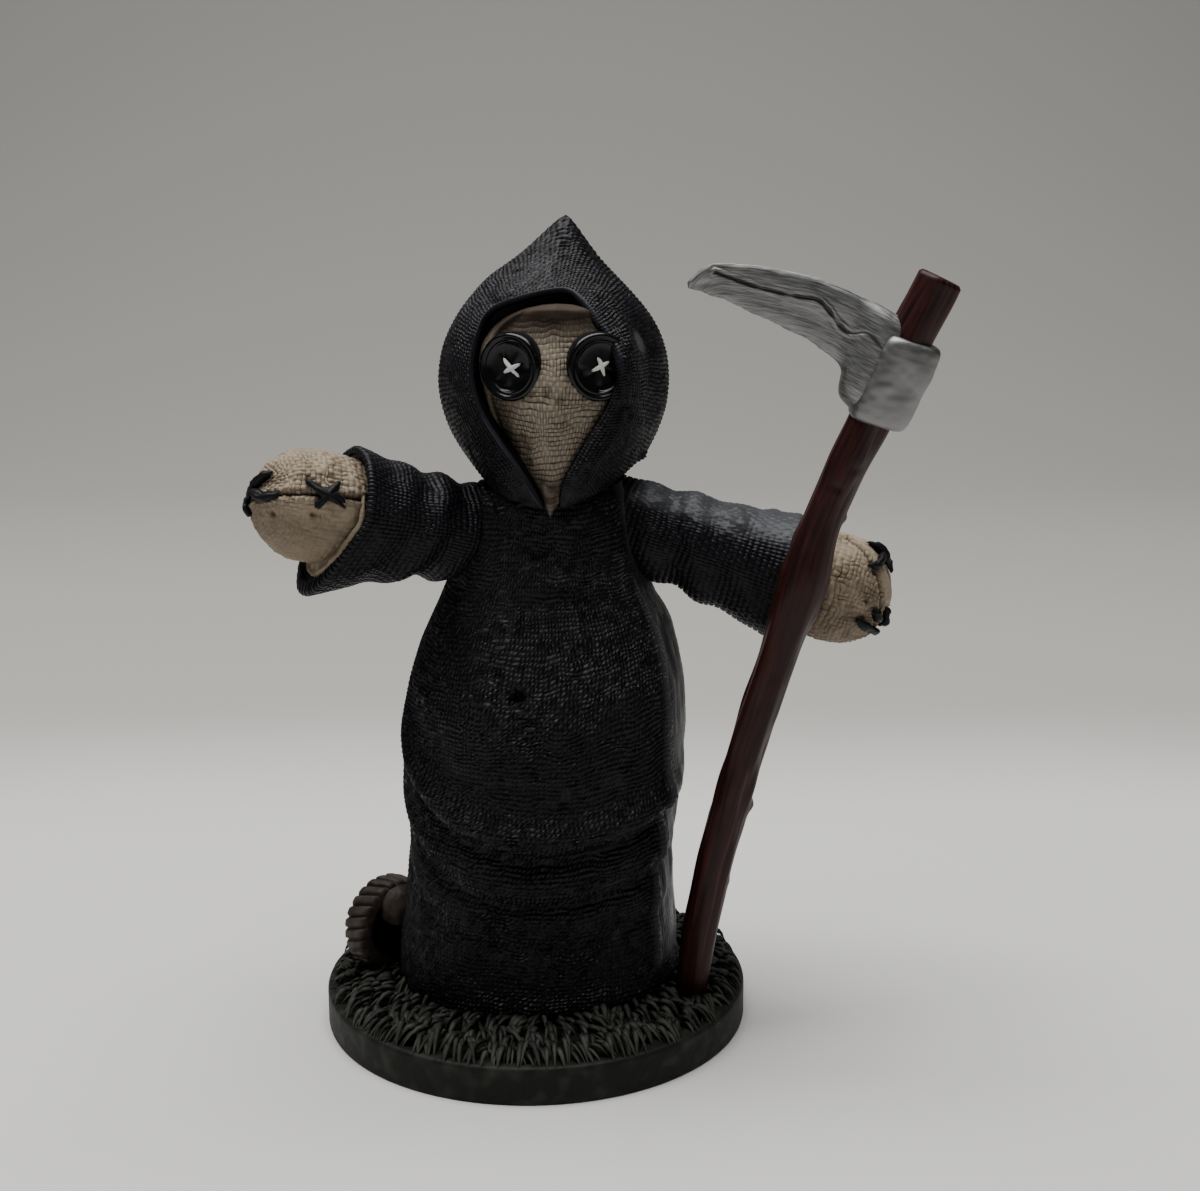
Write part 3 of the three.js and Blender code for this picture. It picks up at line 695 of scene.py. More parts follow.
def make_robe(settings, material):
    """Robe: threads run round it and up it. Rows sag with the folds and rise towards +X above.

    Columns stand closer in front than behind. The weave fades on the smoother strip behind the
    parting on the +X side, whose pale colour is a painted reflection, and the colour darkens in
    the creases and the navel as painted shade.
    """
    rows, row_grooves = thread_lines(122, FLAT_THREAD)
    columns, column_grooves = thread_lines(162, FLAT_THREAD)
    dense = np.linspace(-np.pi, np.pi, 2001)
    outline, _ = robe_surface(dense, np.full(dense.shape, BELLY_HEIGHT))
    # A column behind is 1 / 0.6 times as wide as one in front
    closeness = 0.6 + 0.4 * smoothstep(np.cos(dense + 0.35), -0.35, 0.1)
    angle = spread_along(outline, dense, columns, closeness[1:])[None, :]
    low, high = ROBE_SPAN
    level = (low + (high - low) * rows)[:, None]
    # Rows sag round the folds at 29 mm, and rise 3.2 mm on the chest's +X side at 51 mm
    sag = 0.42 * bell(level - 29, 13) * (1 - np.cos(angle)) * (12 - 5 * np.sin(angle))
    rise = 3.2 * bell(level - 51, 13) * plateau(angle, -0.1, 1.2, 1.9, 3.0)
    height = level + sag * smoothstep(np.cos(angle), -0.2, 0.4) + rise
    plain, _ = robe_surface(angle, height)
    angle = angle + rough(plain, (0.4, 6, 5), (0.2, 1.3, 1), (0.1, 0.6, 17)) / BELLY_RADIUS
    wander = rough(plain, (0.5, 6, 3), (0.32, 2.0, 4), (0.13, 0.8, 2))
    height = np.clip(height + wander, low, high)
    plain, crease = robe_surface(angle, height)
    # The -X side shows its columns, and the strip behind the parting is nearly smooth
    side = plateau(-angle, 0.45, 1.0, 1.9, 2.4)
    strip = plateau(angle, PARTING_ANGLE - 0.03, PARTING_ANGLE + 0.1, 2.2, 2.6)
    strip = strip * smoothstep(height, 9, 12)
    patchy = uneven(plain, 0.25, 4, 6) / MM
    row_depth = settings.row_depth * patchy * uneven(plain, 0.75, 0.9, 10, 0.4, 1.8)
    column_depth = settings.column_depth * patchy * uneven(plain, 0.8, 0.7, 18, 0.3, 1.9)
    lift, relief = weave(
        row_grooves, column_grooves, row_depth * (1 - 0.6 * side) * (1 - 0.9 * strip),
        column_depth * (1 + 0.8 * side) * (1 - 0.7 * strip), 0.03 * (1 - 0.7 * strip))
    parting = bell((angle - PARTING_ANGLE) * BELLY_RADIUS, 0.7) * plateau(height, 9.5, 11, 62, 68)
    streaks = noise(plain * [1, 1, 0.16], 1.3, 7) * strip
    # The hem swells out at 7.5 mm and turns in below
    hem = 0.7 * bell(height - 7.5, 1.8) - 0.9 * bell(height - 4.2, 1.6)
    bulk = lift + 0.5 * parting + 0.28 * streaks + rough(plain, (0.16, 4, 8))
    bulk = bulk + hem * (0.6 + rough(plain, (0.5, 5, 9)))
    # The parting ridge and the strip behind it are painted pale: a painted highlight on the ridge
    # and a painted reflection on the smoother strip.
    rubbed = 0.6 * parting + 0.55 * strip * (0.5 + smoothstep(streaks, -0.3, 0.6))
    # Colour darkens in the creases and the navel: painted shade.
    marks = {"relief": relief * (0.85 - 0.5 * crease), "worn_and_sheen": np.clip(rubbed, 0, 1), "stain_and_shade": 0}
    grid = plain + outward(plain) * bulk[..., None]
    return solid("robe", grid, marks, material, smooth=False)


def hood_radius(direction):
    """Distance of the hood's skin from the head's middle: a ball with swells on it.

    A swell is its height times exp(-(angle / spread)^power).
    """
    radius = np.full(direction.shape[:-1], HEAD_RADIUS)
    for toward, height, spread, power in HOOD_SWELLS:
        angle = np.arccos(np.clip(unit(direction) @ unit(toward), -1, 1))
        radius = radius + height * np.exp(-((angle / spread) ** power))
    return radius


def hood_front(x, z):
    """Points of the hood's skin that are seen at x and z from the front, closed in on in steps."""
    point = points_at(x, -HEAD_RADIUS, z)
    for _ in range(12):
        radius = hood_radius(point)
        point[..., 1] = -np.sqrt(np.maximum(radius ** 2 - x * x - z * z, 16))
    return point


def at_head(points):
    """Points measured from the head's middle, turned with the head and put in place."""
    return turned(points, HEAD_TURN) + HEAD_MIDDLE


def hood_skin(shares, inward, onward):
    """Grid of the hood, bare of weave, and how broad its lip is at shares round the opening.

    Inside, rows go from the recess floor up to the lip's inner edge. On the lip, a point at
    share s of the way in is set back by s^2. Outside, a row's directions are turned from the
    edge's towards the back in equal steps.
    """
    # One station more at each end, so that the opening's line runs on smoothly where it meets
    stations = np.array(OPENING_STATIONS)
    whole_turn = [1, 0, 0, 0, 0]
    stations = np.concatenate([stations[-2:-1] - whole_turn, stations, stations[1:2] + whole_turn])
    dense = np.linspace(0, 1, 2001)
    place = spread_along(smooth_between(stations, dense)[:, :2], dense, shares)
    outer_x, outer_z, inner_x, inner_z = smooth_between(stations, place).T
    broad = smoothstep(np.hypot(outer_x - inner_x, outer_z - inner_z), 0.9, 1.8)
    lip = hood_front(
        outer_x + (inner_x - outer_x) * inward, outer_z + (inner_z - outer_z) * inward
    )
    lip[..., 1] += inward ** 2
    drawn_in, set_back = np.array(RECESS_WALL).T[:, :, None]
    depth = np.maximum(RECESS_FLOOR[1] - lip[0, :, 1], 2.0)
    inside = lip[0] + drawn_in[..., None] * ([RECESS_FLOOR[0], 0, 0] - lip[0]) * [1, 0, 1]
    inside[..., 1] += set_back * depth
    back = unit([0, 1, -0.1])
    direction = unit(hood_front(outer_x, outer_z))
    aside = unit(back - direction * (direction @ back)[:, None])
    full = np.arccos(np.clip(direction @ back, -1, 1))
    turn = 2 * np.pi * place
    wobble = rough(points_at(8 * np.cos(turn), 8 * np.sin(turn), 0), (0.012, 2, 11))
    toward = spokes((onward + np.sin(np.pi * onward) * wobble) * full, direction, aside)
    outside = toward * hood_radius(toward)[..., None]
    floor = np.broadcast_to(RECESS_FLOOR, (1, len(turn), 3))
    plain = np.concatenate([floor, inside, lip, outside])
    # The +X side of the lip stands forward and overlaps the button
    by_button = bell(plain[..., 0] - 11.0, 2.6) * bell(plain[..., 2] - 3.4, 5.2)
    plain[..., 1] -= 2.9 * by_button * smoothstep(-plain[..., 1], 8, 11)
    return plain, broad


def make_hood(settings, material):
    """Hood: rows of thread run round the face opening, out over its lip and back.

    The rows fade out before they meet behind. Where the lip is narrow it is smooth, and the
    recess inside it has no weave and takes the groove colour all over, a painted shade.
    """
    columns, column_grooves = thread_lines(184, FLAT_THREAD)
    lip_rows, lip_grooves = thread_lines(5, FLAT_THREAD)
    rows, row_grooves = thread_lines(78, FLAT_THREAD)
    inward, onward = (1 - lip_rows)[:, None], np.append(rows, 1.0)[:, None]
    plain, broad = hood_skin(columns, inward, onward)
    past_lip = len(plain) - len(onward)
    lead = past_lip - len(inward)
    row = np.arange(len(plain))[:, None]
    shown = row >= lead
    on_lip = shown & (row < past_lip)
    grooves = np.concatenate([np.zeros(lead), lip_grooves, row_grooves, [0.0]])
    normal = outward(plain)
    # Threads wander along the surface, up and down and, away from the face, sideways
    step = unit(np.roll(plain, -1, axis=1) - np.roll(plain, 1, axis=1) + 1e-9)
    sideways = rough(plain, (0.2, 1.8, 19), (0.1, 0.7, 30))[..., None] * step
    warp = rough(plain, (0.26, 2.4, 12), (0.13, 0.9, 16))[..., None]
    warp = warp * unit(np.gradient(plain, axis=0))
    warp = warp + sideways * smoothstep(-plain[..., 1:2], -14, -8)
    warp[:past_lip + 1] *= 0.2
    warp[0], warp[-3:] = warp[0, 0], 0
    plain = plain + warp
    behind = np.append(np.zeros((past_lip, 1)), smoothstep(onward, 0.62, 0.9), axis=0)
    # A spot on the +X side of the lip is rubbed smooth
    spot = unit(HOOD_SPOT[0]) * HOOD_SPOT[1]
    off_spot = np.linalg.norm((plain - spot) * [1, 1, 0.7], axis=-1)
    smooth_spot = 1 - smoothstep(off_spot, 0.9, 1.7)
    kept = shown * (1 - 0.85 * behind) * (1 - smooth_spot) * (1 - on_lip * (1 - broad))
    depth = uneven(plain, 0.25, 3.2, 13) * kept / MM
    row_depth = 0.72 * settings.row_depth * uneven(plain, 0.6, 0.8, 15, 0.45, 1.7)
    column_depth = settings.column_depth * uneven(plain, 0.7, 0.8, 28, 0.35, 1.8)
    to_right = smoothstep(plain[..., 0], 2, 9)
    lift, relief = weave(grooves, column_grooves, depth * row_depth * (1 - 0.3 * on_lip),
                         depth * column_depth * (0.62 + 0.3 * to_right), 0.025 * kept)
    bulk = lift + rough(plain, (0.16, 5, 14)) * (1 - on_lip) - 0.12 * smooth_spot
    grid = at_head(plain + normal * (bulk * shown)[..., None])
    # The recess has relief 0 and so the groove colour all over: painted shade in the recess.
    marks = {"relief": relief * shown, "worn_and_sheen": 0.8 * smooth_spot * shown, "stain_and_shade": 0}
    return solid("hood", grid, marks, material, smooth=False)


def mask_span(z):
    """Middle X and half width of the mask: an arch above its shoulder, and 1 - share^1.6 below."""
    below = np.clip((MASK_SHOULDER - z) / (MASK_BEAK + MASK_SHOULDER), 0, 1)
    above = np.clip((z - MASK_SHOULDER) / (MASK_BROW - MASK_SHOULDER), 0, 1)
    share = np.where(z < MASK_SHOULDER, 1 - below ** 1.6, np.sqrt(np.maximum(0, 1 - above ** 2.2)))
    return MASK_X - MASK_LEAN * below ** 2, MASK_HALF_WIDTH * share


def make_mask(material):
    """Mask: rows of sacking thread across a ridged beak, a rolled hem round the brow and rim.

    The front's depth is the ridge's height times 1 - |across|^1.45. The back is half an ellipse.
    Behind each button the front is pressed in to a flat seat.
    """
    rows, row_grooves = thread_lines(42)
    columns, column_grooves = thread_lines(46)
    z = (-MASK_BEAK + (MASK_BEAK + MASK_BROW) * np.append(rows, 1))[:, None]
    rear = np.linspace(0, np.pi, 14)[1:-1]
    aside = np.append(2 * columns - 1, np.cos(rear))[None, :]
    ahead = np.append(0 * columns, np.sin(rear))[None, :]
    in_front = ahead == 0
    _, half_width = mask_span(z)
    flat = points_at(half_width * aside, 0, z)
    bend = rough(flat, (0.5, 4, 21), (0.3, 1.4, 22)) * in_front
    z = z + bend * plateau(z, -17.2, -14.5, 8.4, 10.4)
    shift = rough(flat, (0.3, 3, 20)) * in_front * (1 - np.abs(aside)) / MASK_HALF_WIDTH
    aside = aside + shift * smoothstep(z, -17, -12)
    middle, half_width = mask_span(z)
    ridge = smooth_between(RIDGE_HEIGHTS, z)[..., 0]
    # Distance from the mask's own rim, which carries the rolled hem
    rim = np.minimum(half_width * (1 - np.abs(aside)), (MASK_BROW - z) * 1.1)
    brow = smoothstep(z, -3, 4)
    hem = (0.45 + 0.55 * brow) * bell(rim - 0.35 - 0.45 * brow, 0.35 + 0.5 * brow)
    hem = hem * uneven(flat, 0.3, 1.8, 23)
    front = ridge * (1 - np.abs(np.clip(aside, -1, 1)) ** 1.45) + 0.85 * hem
    depth = np.where(in_front, front, -MASK_THICKNESS * ahead) * np.minimum(1, half_width / 1.2)
    plain = points_at(middle + half_width * aside, MASK_EDGE_Y - depth, z)
    under_lip = smoothstep(plain[..., 0], 7.0, 9.2) * smoothstep(z, -2, 3)
    plain[..., 1] += 1.3 * under_lip * in_front
    for side in EYE_STRANDS:
        seat, sideways, up, out = button_frame(side)
        off = plain - seat
        inside = np.hypot(off @ sideways, off @ up) < 0.93 * BUTTON_RADIUS
        plain = plain - (np.maximum(off @ out - 0.3, 0) * inside)[..., None] * out
    bare = 1 - np.clip(1.4 * hem * brow, 0, 1)
    row_depth = 0.085 * uneven(plain, 0.8, 1.6, 24, 0.1, 1.9) * bare * in_front
    narrow = smoothstep(half_width, 1.5, 5)
    column_depth = 0.06 * uneven(plain, 1.1, 1.1, 89, 0.1) * narrow * bare * in_front
    lift, relief = weave(np.append(row_grooves, 0), np.append(column_grooves, 0 * rear),
                         row_depth, column_depth, 0.012 * bare)
    bulk = (lift + rough(plain, (0.07, 2.5, 25))) * in_front
    bulk[[0, -1]] = 0
    grid = plain + outward(plain) * bulk[..., None]
    # Brown wash on the beak's tip and cheeks and along the rim. Under the brow's hem and over the
    # eyes the same brown is painted shade under the hood's lip.
    tip = smoothstep(-z, 9.5, 13.0) * (0.9 + rough(plain, (0.5, 0.9, 26)))
    cheeks = bell(np.abs(aside) - 0.78, 0.14) * bell(z + 9, 6)
    cheeks = cheeks * (0.5 + rough(plain, (0.9, 1.6, 27)))
    edge = 0.9 * bell(rim - 1.0, 0.3) * (1 - brow)
    shade_under_hem = 0.6 * bell(rim - 1.8, 0.5) * brow * in_front
    shade_above_eyes = smoothstep(z, 4.5, 8.5)
    worn_rim = 1.3 * hem * (1 - brow) * smoothstep(-z, -2, 3) - 2 * tip
    marks = {"relief": relief, "worn_and_sheen": np.clip(worn_rim, 0, 1),
             "stain_and_shade": np.clip(tip + cheeks + edge + shade_under_hem + shade_above_eyes, 0, 1)}
    return solid("mask", at_head(grid), marks, material)


def button_frame(side):
    """Middle of a button and its unit vectors across, up and out, in the head's own frame."""
    out = np.array([math.sin(side * BUTTON_SPLAY), -math.cos(side * BUTTON_SPLAY), 0])
    up = np.array([0.0, 0, 1])
    seat = np.array([MASK_X + side * BUTTON_SEAT[0], BUTTON_SEAT[1], BUTTON_SEAT[2]])
    return seat, np.cross(up, -out), up, out


def make_buttons(button_paint, thread_paint):
    """Buttons: a profile turned round its axis, with a round rim and a ridge round the dish.

    Each is sewn on with two crossed strands that arch over the dish. Chips of the enamel are
    where noise is high, and show on the rim and the ridge.
    """
    share_out, height = np.array(BUTTON_PROFILE).T[:, :, None]
    shells, relief, strands = [], [], []
    for side, crossed in EYE_STRANDS.items():
        seat, across, up, out = button_frame(side)
        reach = (share_out * BUTTON_RADIUS)[..., None]
        shell = seat + reach * spokes(round_turn(64), across, up) + height[..., None] * out
        chips = noise(shell, 0.9, 31 + side)
        shells.append(shell - out * (0.1 * smoothstep(chips, 0.35, 0.6))[..., None])
        on_rim = bell(share_out - 0.96, 0.035) + 0.8 * bell(share_out - 0.75, 0.02)
        relief.append(np.clip(on_rim * smoothstep(chips, 0.1, 0.5), 0, 1))
        for start, end in crossed:
            share = np.linspace(0, 1, 14)[:, None]
            flat = np.array(start) + share * np.subtract(end, start)
            arch = 1.1 + 0.3 * np.sin(np.pi * share)
            strands.append(seat + flat[:, :1] * across + flat[:, 1:] * up + arch * out)
    solid("buttons", at_head(shells), {"relief": relief}, button_paint)
    cords = tubes(at_head(strands), 0.31 * rounded_ends(14), 10)
    cords = cords + rough(cords, (0.05, 0.5, 33))[..., None]
    return solid("eye_threads", cords, {"relief": 1}, thread_paint)


def arm_frame(arm):
    """Unit vectors along an arm, level to its side, and across both."""
    along = unit(np.subtract(arm["mouth"], arm["shoulder"]))
    aside = unit(np.cross(along, [0, 0, 1]))
    return along, aside, np.cross(aside, along)


def make_sleeve(name, arm, settings, material, rubbed_sheen_top):
    """Sleeve: rings that widen as share^2.6 towards the mouth, whose lower side hangs down.

    Wrinkles are a sine along the sleeve that fades at both ends. The mouth's rim is half round
    and turns in to a shallow recess. The last argument is 1 where the upper side is rubbed smooth
    and painted pale as a painted highlight, else 0.
    """
    along, aside, up = arm_frame(arm)
    rings, ring_grooves = thread_lines(34)
    columns, column_grooves = thread_lines(96)
    turn = 2 * np.pi * columns[None, :]
    # After the rings, the rows go over the rim's half circle and three more into the recess
    bend = np.linspace(0, np.pi, 8)[1:]
    outer, inner = np.zeros(len(rings)), len(bend) + 3
    share = np.append(rings, np.ones(inner))[:, None]
    rim_out = np.concatenate([outer, 0.5 * MOUTH_WALL * np.sin(bend), [0] * 3])
    rim_in = np.concatenate([outer, 0.5 * MOUTH_WALL * (1 - np.cos(bend)), [MOUTH_WALL] * 3])
    back = np.concatenate([outer, 0 * bend, [0.15, 0.3, 0.3]])
    flare = share ** FLARE_POWER
    below = np.maximum(0, -np.sin(turn))
    # Four wrinkles along the sleeve
    wave = np.sin(2 * np.pi * share * 4 + 2 * np.sin(turn))
    narrow, wide = arm["radii"]
    radius = narrow + (wide - narrow) * flare + 0.42 * wave * bell(share - 0.5, 0.3)
    radius = radius - rim_in[:, None]
    length = np.linalg.norm(np.subtract(arm["mouth"], arm["shoulder"]))
    reach = share * length + flare * arm["slant"] * below + (rim_out - 0.5 - back)[:, None]
    sag = flare * arm["droop"] * below ** 2 * (1 - 0.35 * smoothstep(rim_in, 0.3, 1)[:, None])
    plain = (
        arm["shoulder"] + reach[..., None] * along
        + radius[..., None] * spokes(turn, -aside, up) - sag[..., None] * up
    )
    creases = noise(plain * [1, 1, 0.35], 3.4, 41) * bell(share - 0.55, 0.35)
    warp = rough(plain, (0.34, 2.6, 42), (0.18, 0.9, 40)) * np.sin(np.pi * share)
    plain = plain + warp[..., None] * along
    # The upper side where it is rubbed smooth and painted pale as a painted highlight, and the
    # part near the mouth where it isn't
    top = smoothstep(np.sin(turn), 0.5, 0.8) * smoothstep(share, 0.1, 0.25) * rubbed_sheen_top
    near = smoothstep(share, 0.6, 0.85) * (1 - rubbed_sheen_top)
    patchy = uneven(plain, 0.5, 3, 43, 0.25, 1.6) * (1 - 0.85 * top) / MM
    ring_depth = settings.row_depth * patchy * uneven(plain, 0.8, 0.8, 47, 0.3, 1.8)
    column_depth = settings.column_depth * patchy * uneven(plain, 0.8, 0.9, 39, 0.2, 1.9)
    lift, relief = weave(np.append(ring_grooves, np.zeros(inner)), column_grooves,
                         ring_depth * (1.1 - 0.3 * near), column_depth * (0.9 + 0.9 * near), 0.03)
    lumps = top * (np.maximum(0, rough(plain, (0.7, 2.6, 44))) + rough(plain, (0.1, 0.9, 48)))
    bulk = lift + 0.34 * creases + lumps + rough(plain, (0.12, 3, 45))
    bulk = bulk * np.where(rim_in > 0.8 * MOUTH_WALL, 0.3, 1)[:, None]
    # Pale on the upper side: a painted highlight from the lamp overhead, on cloth rubbed smooth.
    rubbed = np.clip(top * (0.85 + rough(plain, (0.25, 2.0, 46))), 0, 1)
    return solid(name, plain + outward(plain) * bulk[..., None],
                 {"relief": 0.6 * relief, "worn_and_sheen": rubbed, "stain_and_shade": 0},
                 material)


def make_hand(name, arm, material):
    """Stub hand: a ball of sacking in rings round the arm, drawn out into the sleeve.

    A seam is cut where the ball crosses a plane through its middle, with puffed cloth on both
    sides of it. One half keeps its knobs of thread, the other is nearly smooth. Behind its
    middle the ball's radius is its sine to the power 0.6, nearly a cylinder.
    """
    along, aside, up = arm_frame(arm)
    middle = np.array(arm["hand"])
    rings, ring_grooves = thread_lines(40)
    columns, column_grooves = thread_lines(68)
    polar = (np.pi * np.append(rings, 1))[::-1, None]
    behind = np.cos(polar) < 0
    sine = np.maximum(np.sin(polar), 0)
    broad = np.where(behind, sine ** 0.6, sine)
    ahead = np.cos(polar) * np.where(behind, 1.5, 1.0)
    ring = spokes(2 * np.pi * columns[None, :], -aside, up)
    plain = middle + arm["hand_radius"] * (ahead[..., None] * along + broad[..., None] * ring)
    step = unit(np.gradient(plain, axis=0) + 1e-9)
    swing = unit(np.cross(step, plain - middle) + 1e-9)
    warp = rough(plain, (0.38, 1.5, 51), (0.2, 0.7, 58))[..., None] * step
    twist = rough(plain, (0.34, 1.7, 59), (0.16, 0.7, 60))[..., None] * swing
    plain = plain + sine[..., None] ** 0.7 * (warp + twist)
    off_seam = (plain - middle) @ unit(arm["seam"])
    seam = bell(off_seam, 0.22)
    puffed = bell(np.abs(off_seam) - 0.75, 0.5)
    smooth_half = smoothstep(off_seam, 0.3, 1.8)
    knobs = arm["knobs"] * (1 - 0.7 * smooth_half)
    lift, relief = weave(np.append(ring_grooves, 0), column_grooves,
                         0.2 * knobs * uneven(plain, 1.1, 1.2, 52, 0.05),
                         0.17 * knobs * uneven(plain, 1.1, 1.1, 49, 0.05), 0.06 * knobs)
    washed = np.clip(0.5 + rough(plain, (0.7, 2.0, 54)), 0, 1) * (1 - 0.75 * smooth_half)
    away = (plain - middle) / arm["hand_radius"]
    holes = np.linalg.norm(away - unit(arm["holes"])[:, None, None], axis=-1)
    pits = np.sum(bell(holes, 0.045), axis=0)
    swirl = rough(plain * [1, 1, 1.6], (0.13, 1.1, 53)) + rough(plain, (0.06, 0.5, 33))
    bulk = lift - 0.75 * seam + 0.3 * puffed + swirl * (0.5 + 0.5 * smooth_half)
    bulk = bulk + rough(plain, (0.14, 2.6, 50)) - 0.46 - 0.5 * np.minimum(pits, 1)
    # Brown wash in patches above. Where the hand goes into the sleeve and on its underside the
    # same brown is painted shade.
    shade_by_sleeve = 0.7 * smoothstep((middle - plain) @ along, 3.4, 4.4)
    under = 0.55 * smoothstep((middle - plain) @ up, -0.6, 3.2)
    upper = 0.4 * (1 - smooth_half) * smoothstep(noise(plain, 1.6, 57), 0.1, 0.6)
    stain_and_shade = np.clip(1.2 * seam + shade_by_sleeve + upper + under + pits, 0, 1)
    marks = {"relief": 1 - (1 - relief) * washed, "worn_and_sheen": 0, "stain_and_shade": stain_and_shade}
    return solid(name, plain + outward(plain) * bulk[..., None], marks,
                 material)


def make_hem(arm, material):
    """Cream edge of a hand's cloth: a lid between hand and sleeve with a rolled outer edge.

    Its section is an oval that narrows towards the hand. The roll is fattest on the lower side
    that faces the front.
    """
    turn, section = round_turn(200), round_turn(20)
    along, aside, up = arm_frame(arm)
    below = np.maximum(0, -np.sin(turn))[:, None]
    low_front = np.angle(np.exp(1j * (turn + 0.75)))[:, None]
    out = spokes(turn, -aside, up)
    inner = arm["hand_radius"] - 2.2
    room = arm["radii"][1] - MOUTH_WALL - inner - 0.4
    outer = inner + 1.0 + room * bell(low_front, 1.15)
    centre = (
        arm["mouth"] + (0.7 * arm["slant"] * below + 0.1) * along
        + 0.5 * (inner + outer) * out - 0.4 * arm["droop"] * below ** 2 * up
    )
    fat = 0.3 + 0.32 * arm["droop"] * bell(low_front, 0.75)
    fat = fat * (0.35 + 0.65 * smoothstep(np.cos(section), 0.2, 0.8))
    grid = (
        centre[:, None] + (0.5 * (outer - inner) * np.cos(section))[..., None] * out[:, None]
        + (fat * np.sin(section))[..., None] * along
    )
    grid = grid + rough(grid, (0.22, 0.9, 55), (0.14, 2.2, 39))[..., None] * along
    index = np.arange(grid[..., 0].size).reshape(grid.shape[:2])
    ahead = np.roll(index, -1, axis=0)
    quads = np.stack([index, np.roll(index, -1, axis=1), np.roll(ahead, -1, axis=1), ahead], -1)
    marks = {key: np.full(index.size, value)
             for key, value in (("relief", 0.8), ("worn_and_sheen", 0.0), ("stain_and_shade", 0.12))}
    return make_piece("hems", grid.reshape(-1, 3), [quads.reshape(-1, 4)], marks,
                      material, "figure", True)


def make_stitches(arms, material):
    """Black stitches: strands in twos that arch over a hand, lumpy, with rounded ends.

    The second strand of a pair strays a little from the first and arches over it.
    """
    paths, radii = [], []
    rows = 18
    share = np.linspace(0, 1, rows)
    random = np.random.default_rng(56)
    for arm in arms:
        for strand in arm["strands"]:
            for arch, fat, stray in ((0.0, 0.58, 0.0), (0.4, 0.5, 0.035)):
                line = unit(along_points(strand + random.normal(0, stray, (3, 3)), share))
                lifted = arm["hand_radius"] - 0.1 + arch * np.sin(np.pi * share)
                paths.append(arm["hand"] + line * lifted[:, None])
                lumps = 1 + 0.22 * np.sin(9 * share + 2 * len(paths))
                radii.append(fat * rounded_ends(rows) * lumps)
    grids = tubes(paths, radii, 14)
    away = unit(grids - grids.mean(axis=2, keepdims=True) + 1e-9)
    grids = grids + rough(grids, (0.2, 0.55, 56))[..., None] * away
    grids[:, [0, -1]] = grids[:, [0, -1], :1]
    # The outermost stitch stays inside the packed model's box
    grids[..., 0] = np.maximum(grids[..., 0], CAD_BOX[0][0] / MM + 0.02)
    return solid("stitches", grids, {"relief": 1}, material)


def make_base(material):
    """Base: a disc with a rounded shoulder and an uneven earth top, worked out in rings."""
    turn = round_turn(288)[None, :]
    round_off = np.linspace(0, np.pi / 2, 7)[1:]
    corner = BASE_CORNER
    profile = np.concatenate([
        [[0, 0], [10, 0], [20, 0], [29, 0], [30.25, 0], [30.45, 0.15], [30.5, 0.4]],
        np.column_stack([np.full(9, BASE_RADIUS), np.linspace(0.8, BASE_HEIGHT - corner, 9)]),
        np.column_stack([BASE_RADIUS - corner * (1 - np.cos(round_off)),
                         BASE_HEIGHT - corner * (1 - np.sin(round_off))]),
        np.column_stack([np.linspace(29.3, 0, 44), np.full(44, BASE_HEIGHT)]),
    ])
    radius, height = profile.T[:, :, None]
    grid = points_at(radius * np.sin(turn), -radius * np.cos(turn), height)
    on_top = smoothstep(height, BASE_HEIGHT - 0.05, BASE_HEIGHT) * smoothstep(-radius, -29.4, -28)
    grid[..., 2] += on_top * rough(grid, (0.45, 2.6, 61), (0.25, 1.1, 62))
    wall = plateau(height, 0.2, 0.8, 4.6, 5.2)
    dents = -0.07 * np.abs(noise(grid, 4, 63)) * wall
    chip = bell(grid[..., 0] - BASE_CHIP[0], 1.3) * (grid[..., 1] < 0)
    chip = chip * wall * bell(height - BASE_CHIP[1], 1.2)
    grid[..., :2] *= (1 + (dents - 0.35 * chip) / BASE_RADIUS)[..., None]
    grid[0], grid[-1] = [0, 0, 0], [0, 0, BASE_HEIGHT]
    # The earth on top is 0.25 darker: painted shade under the grass blades.
    relief = 0.55 + rough(grid, (0.35, 1.5, 64)) - 0.25 * on_top
    return solid("base", grid, {"relief": relief}, material)


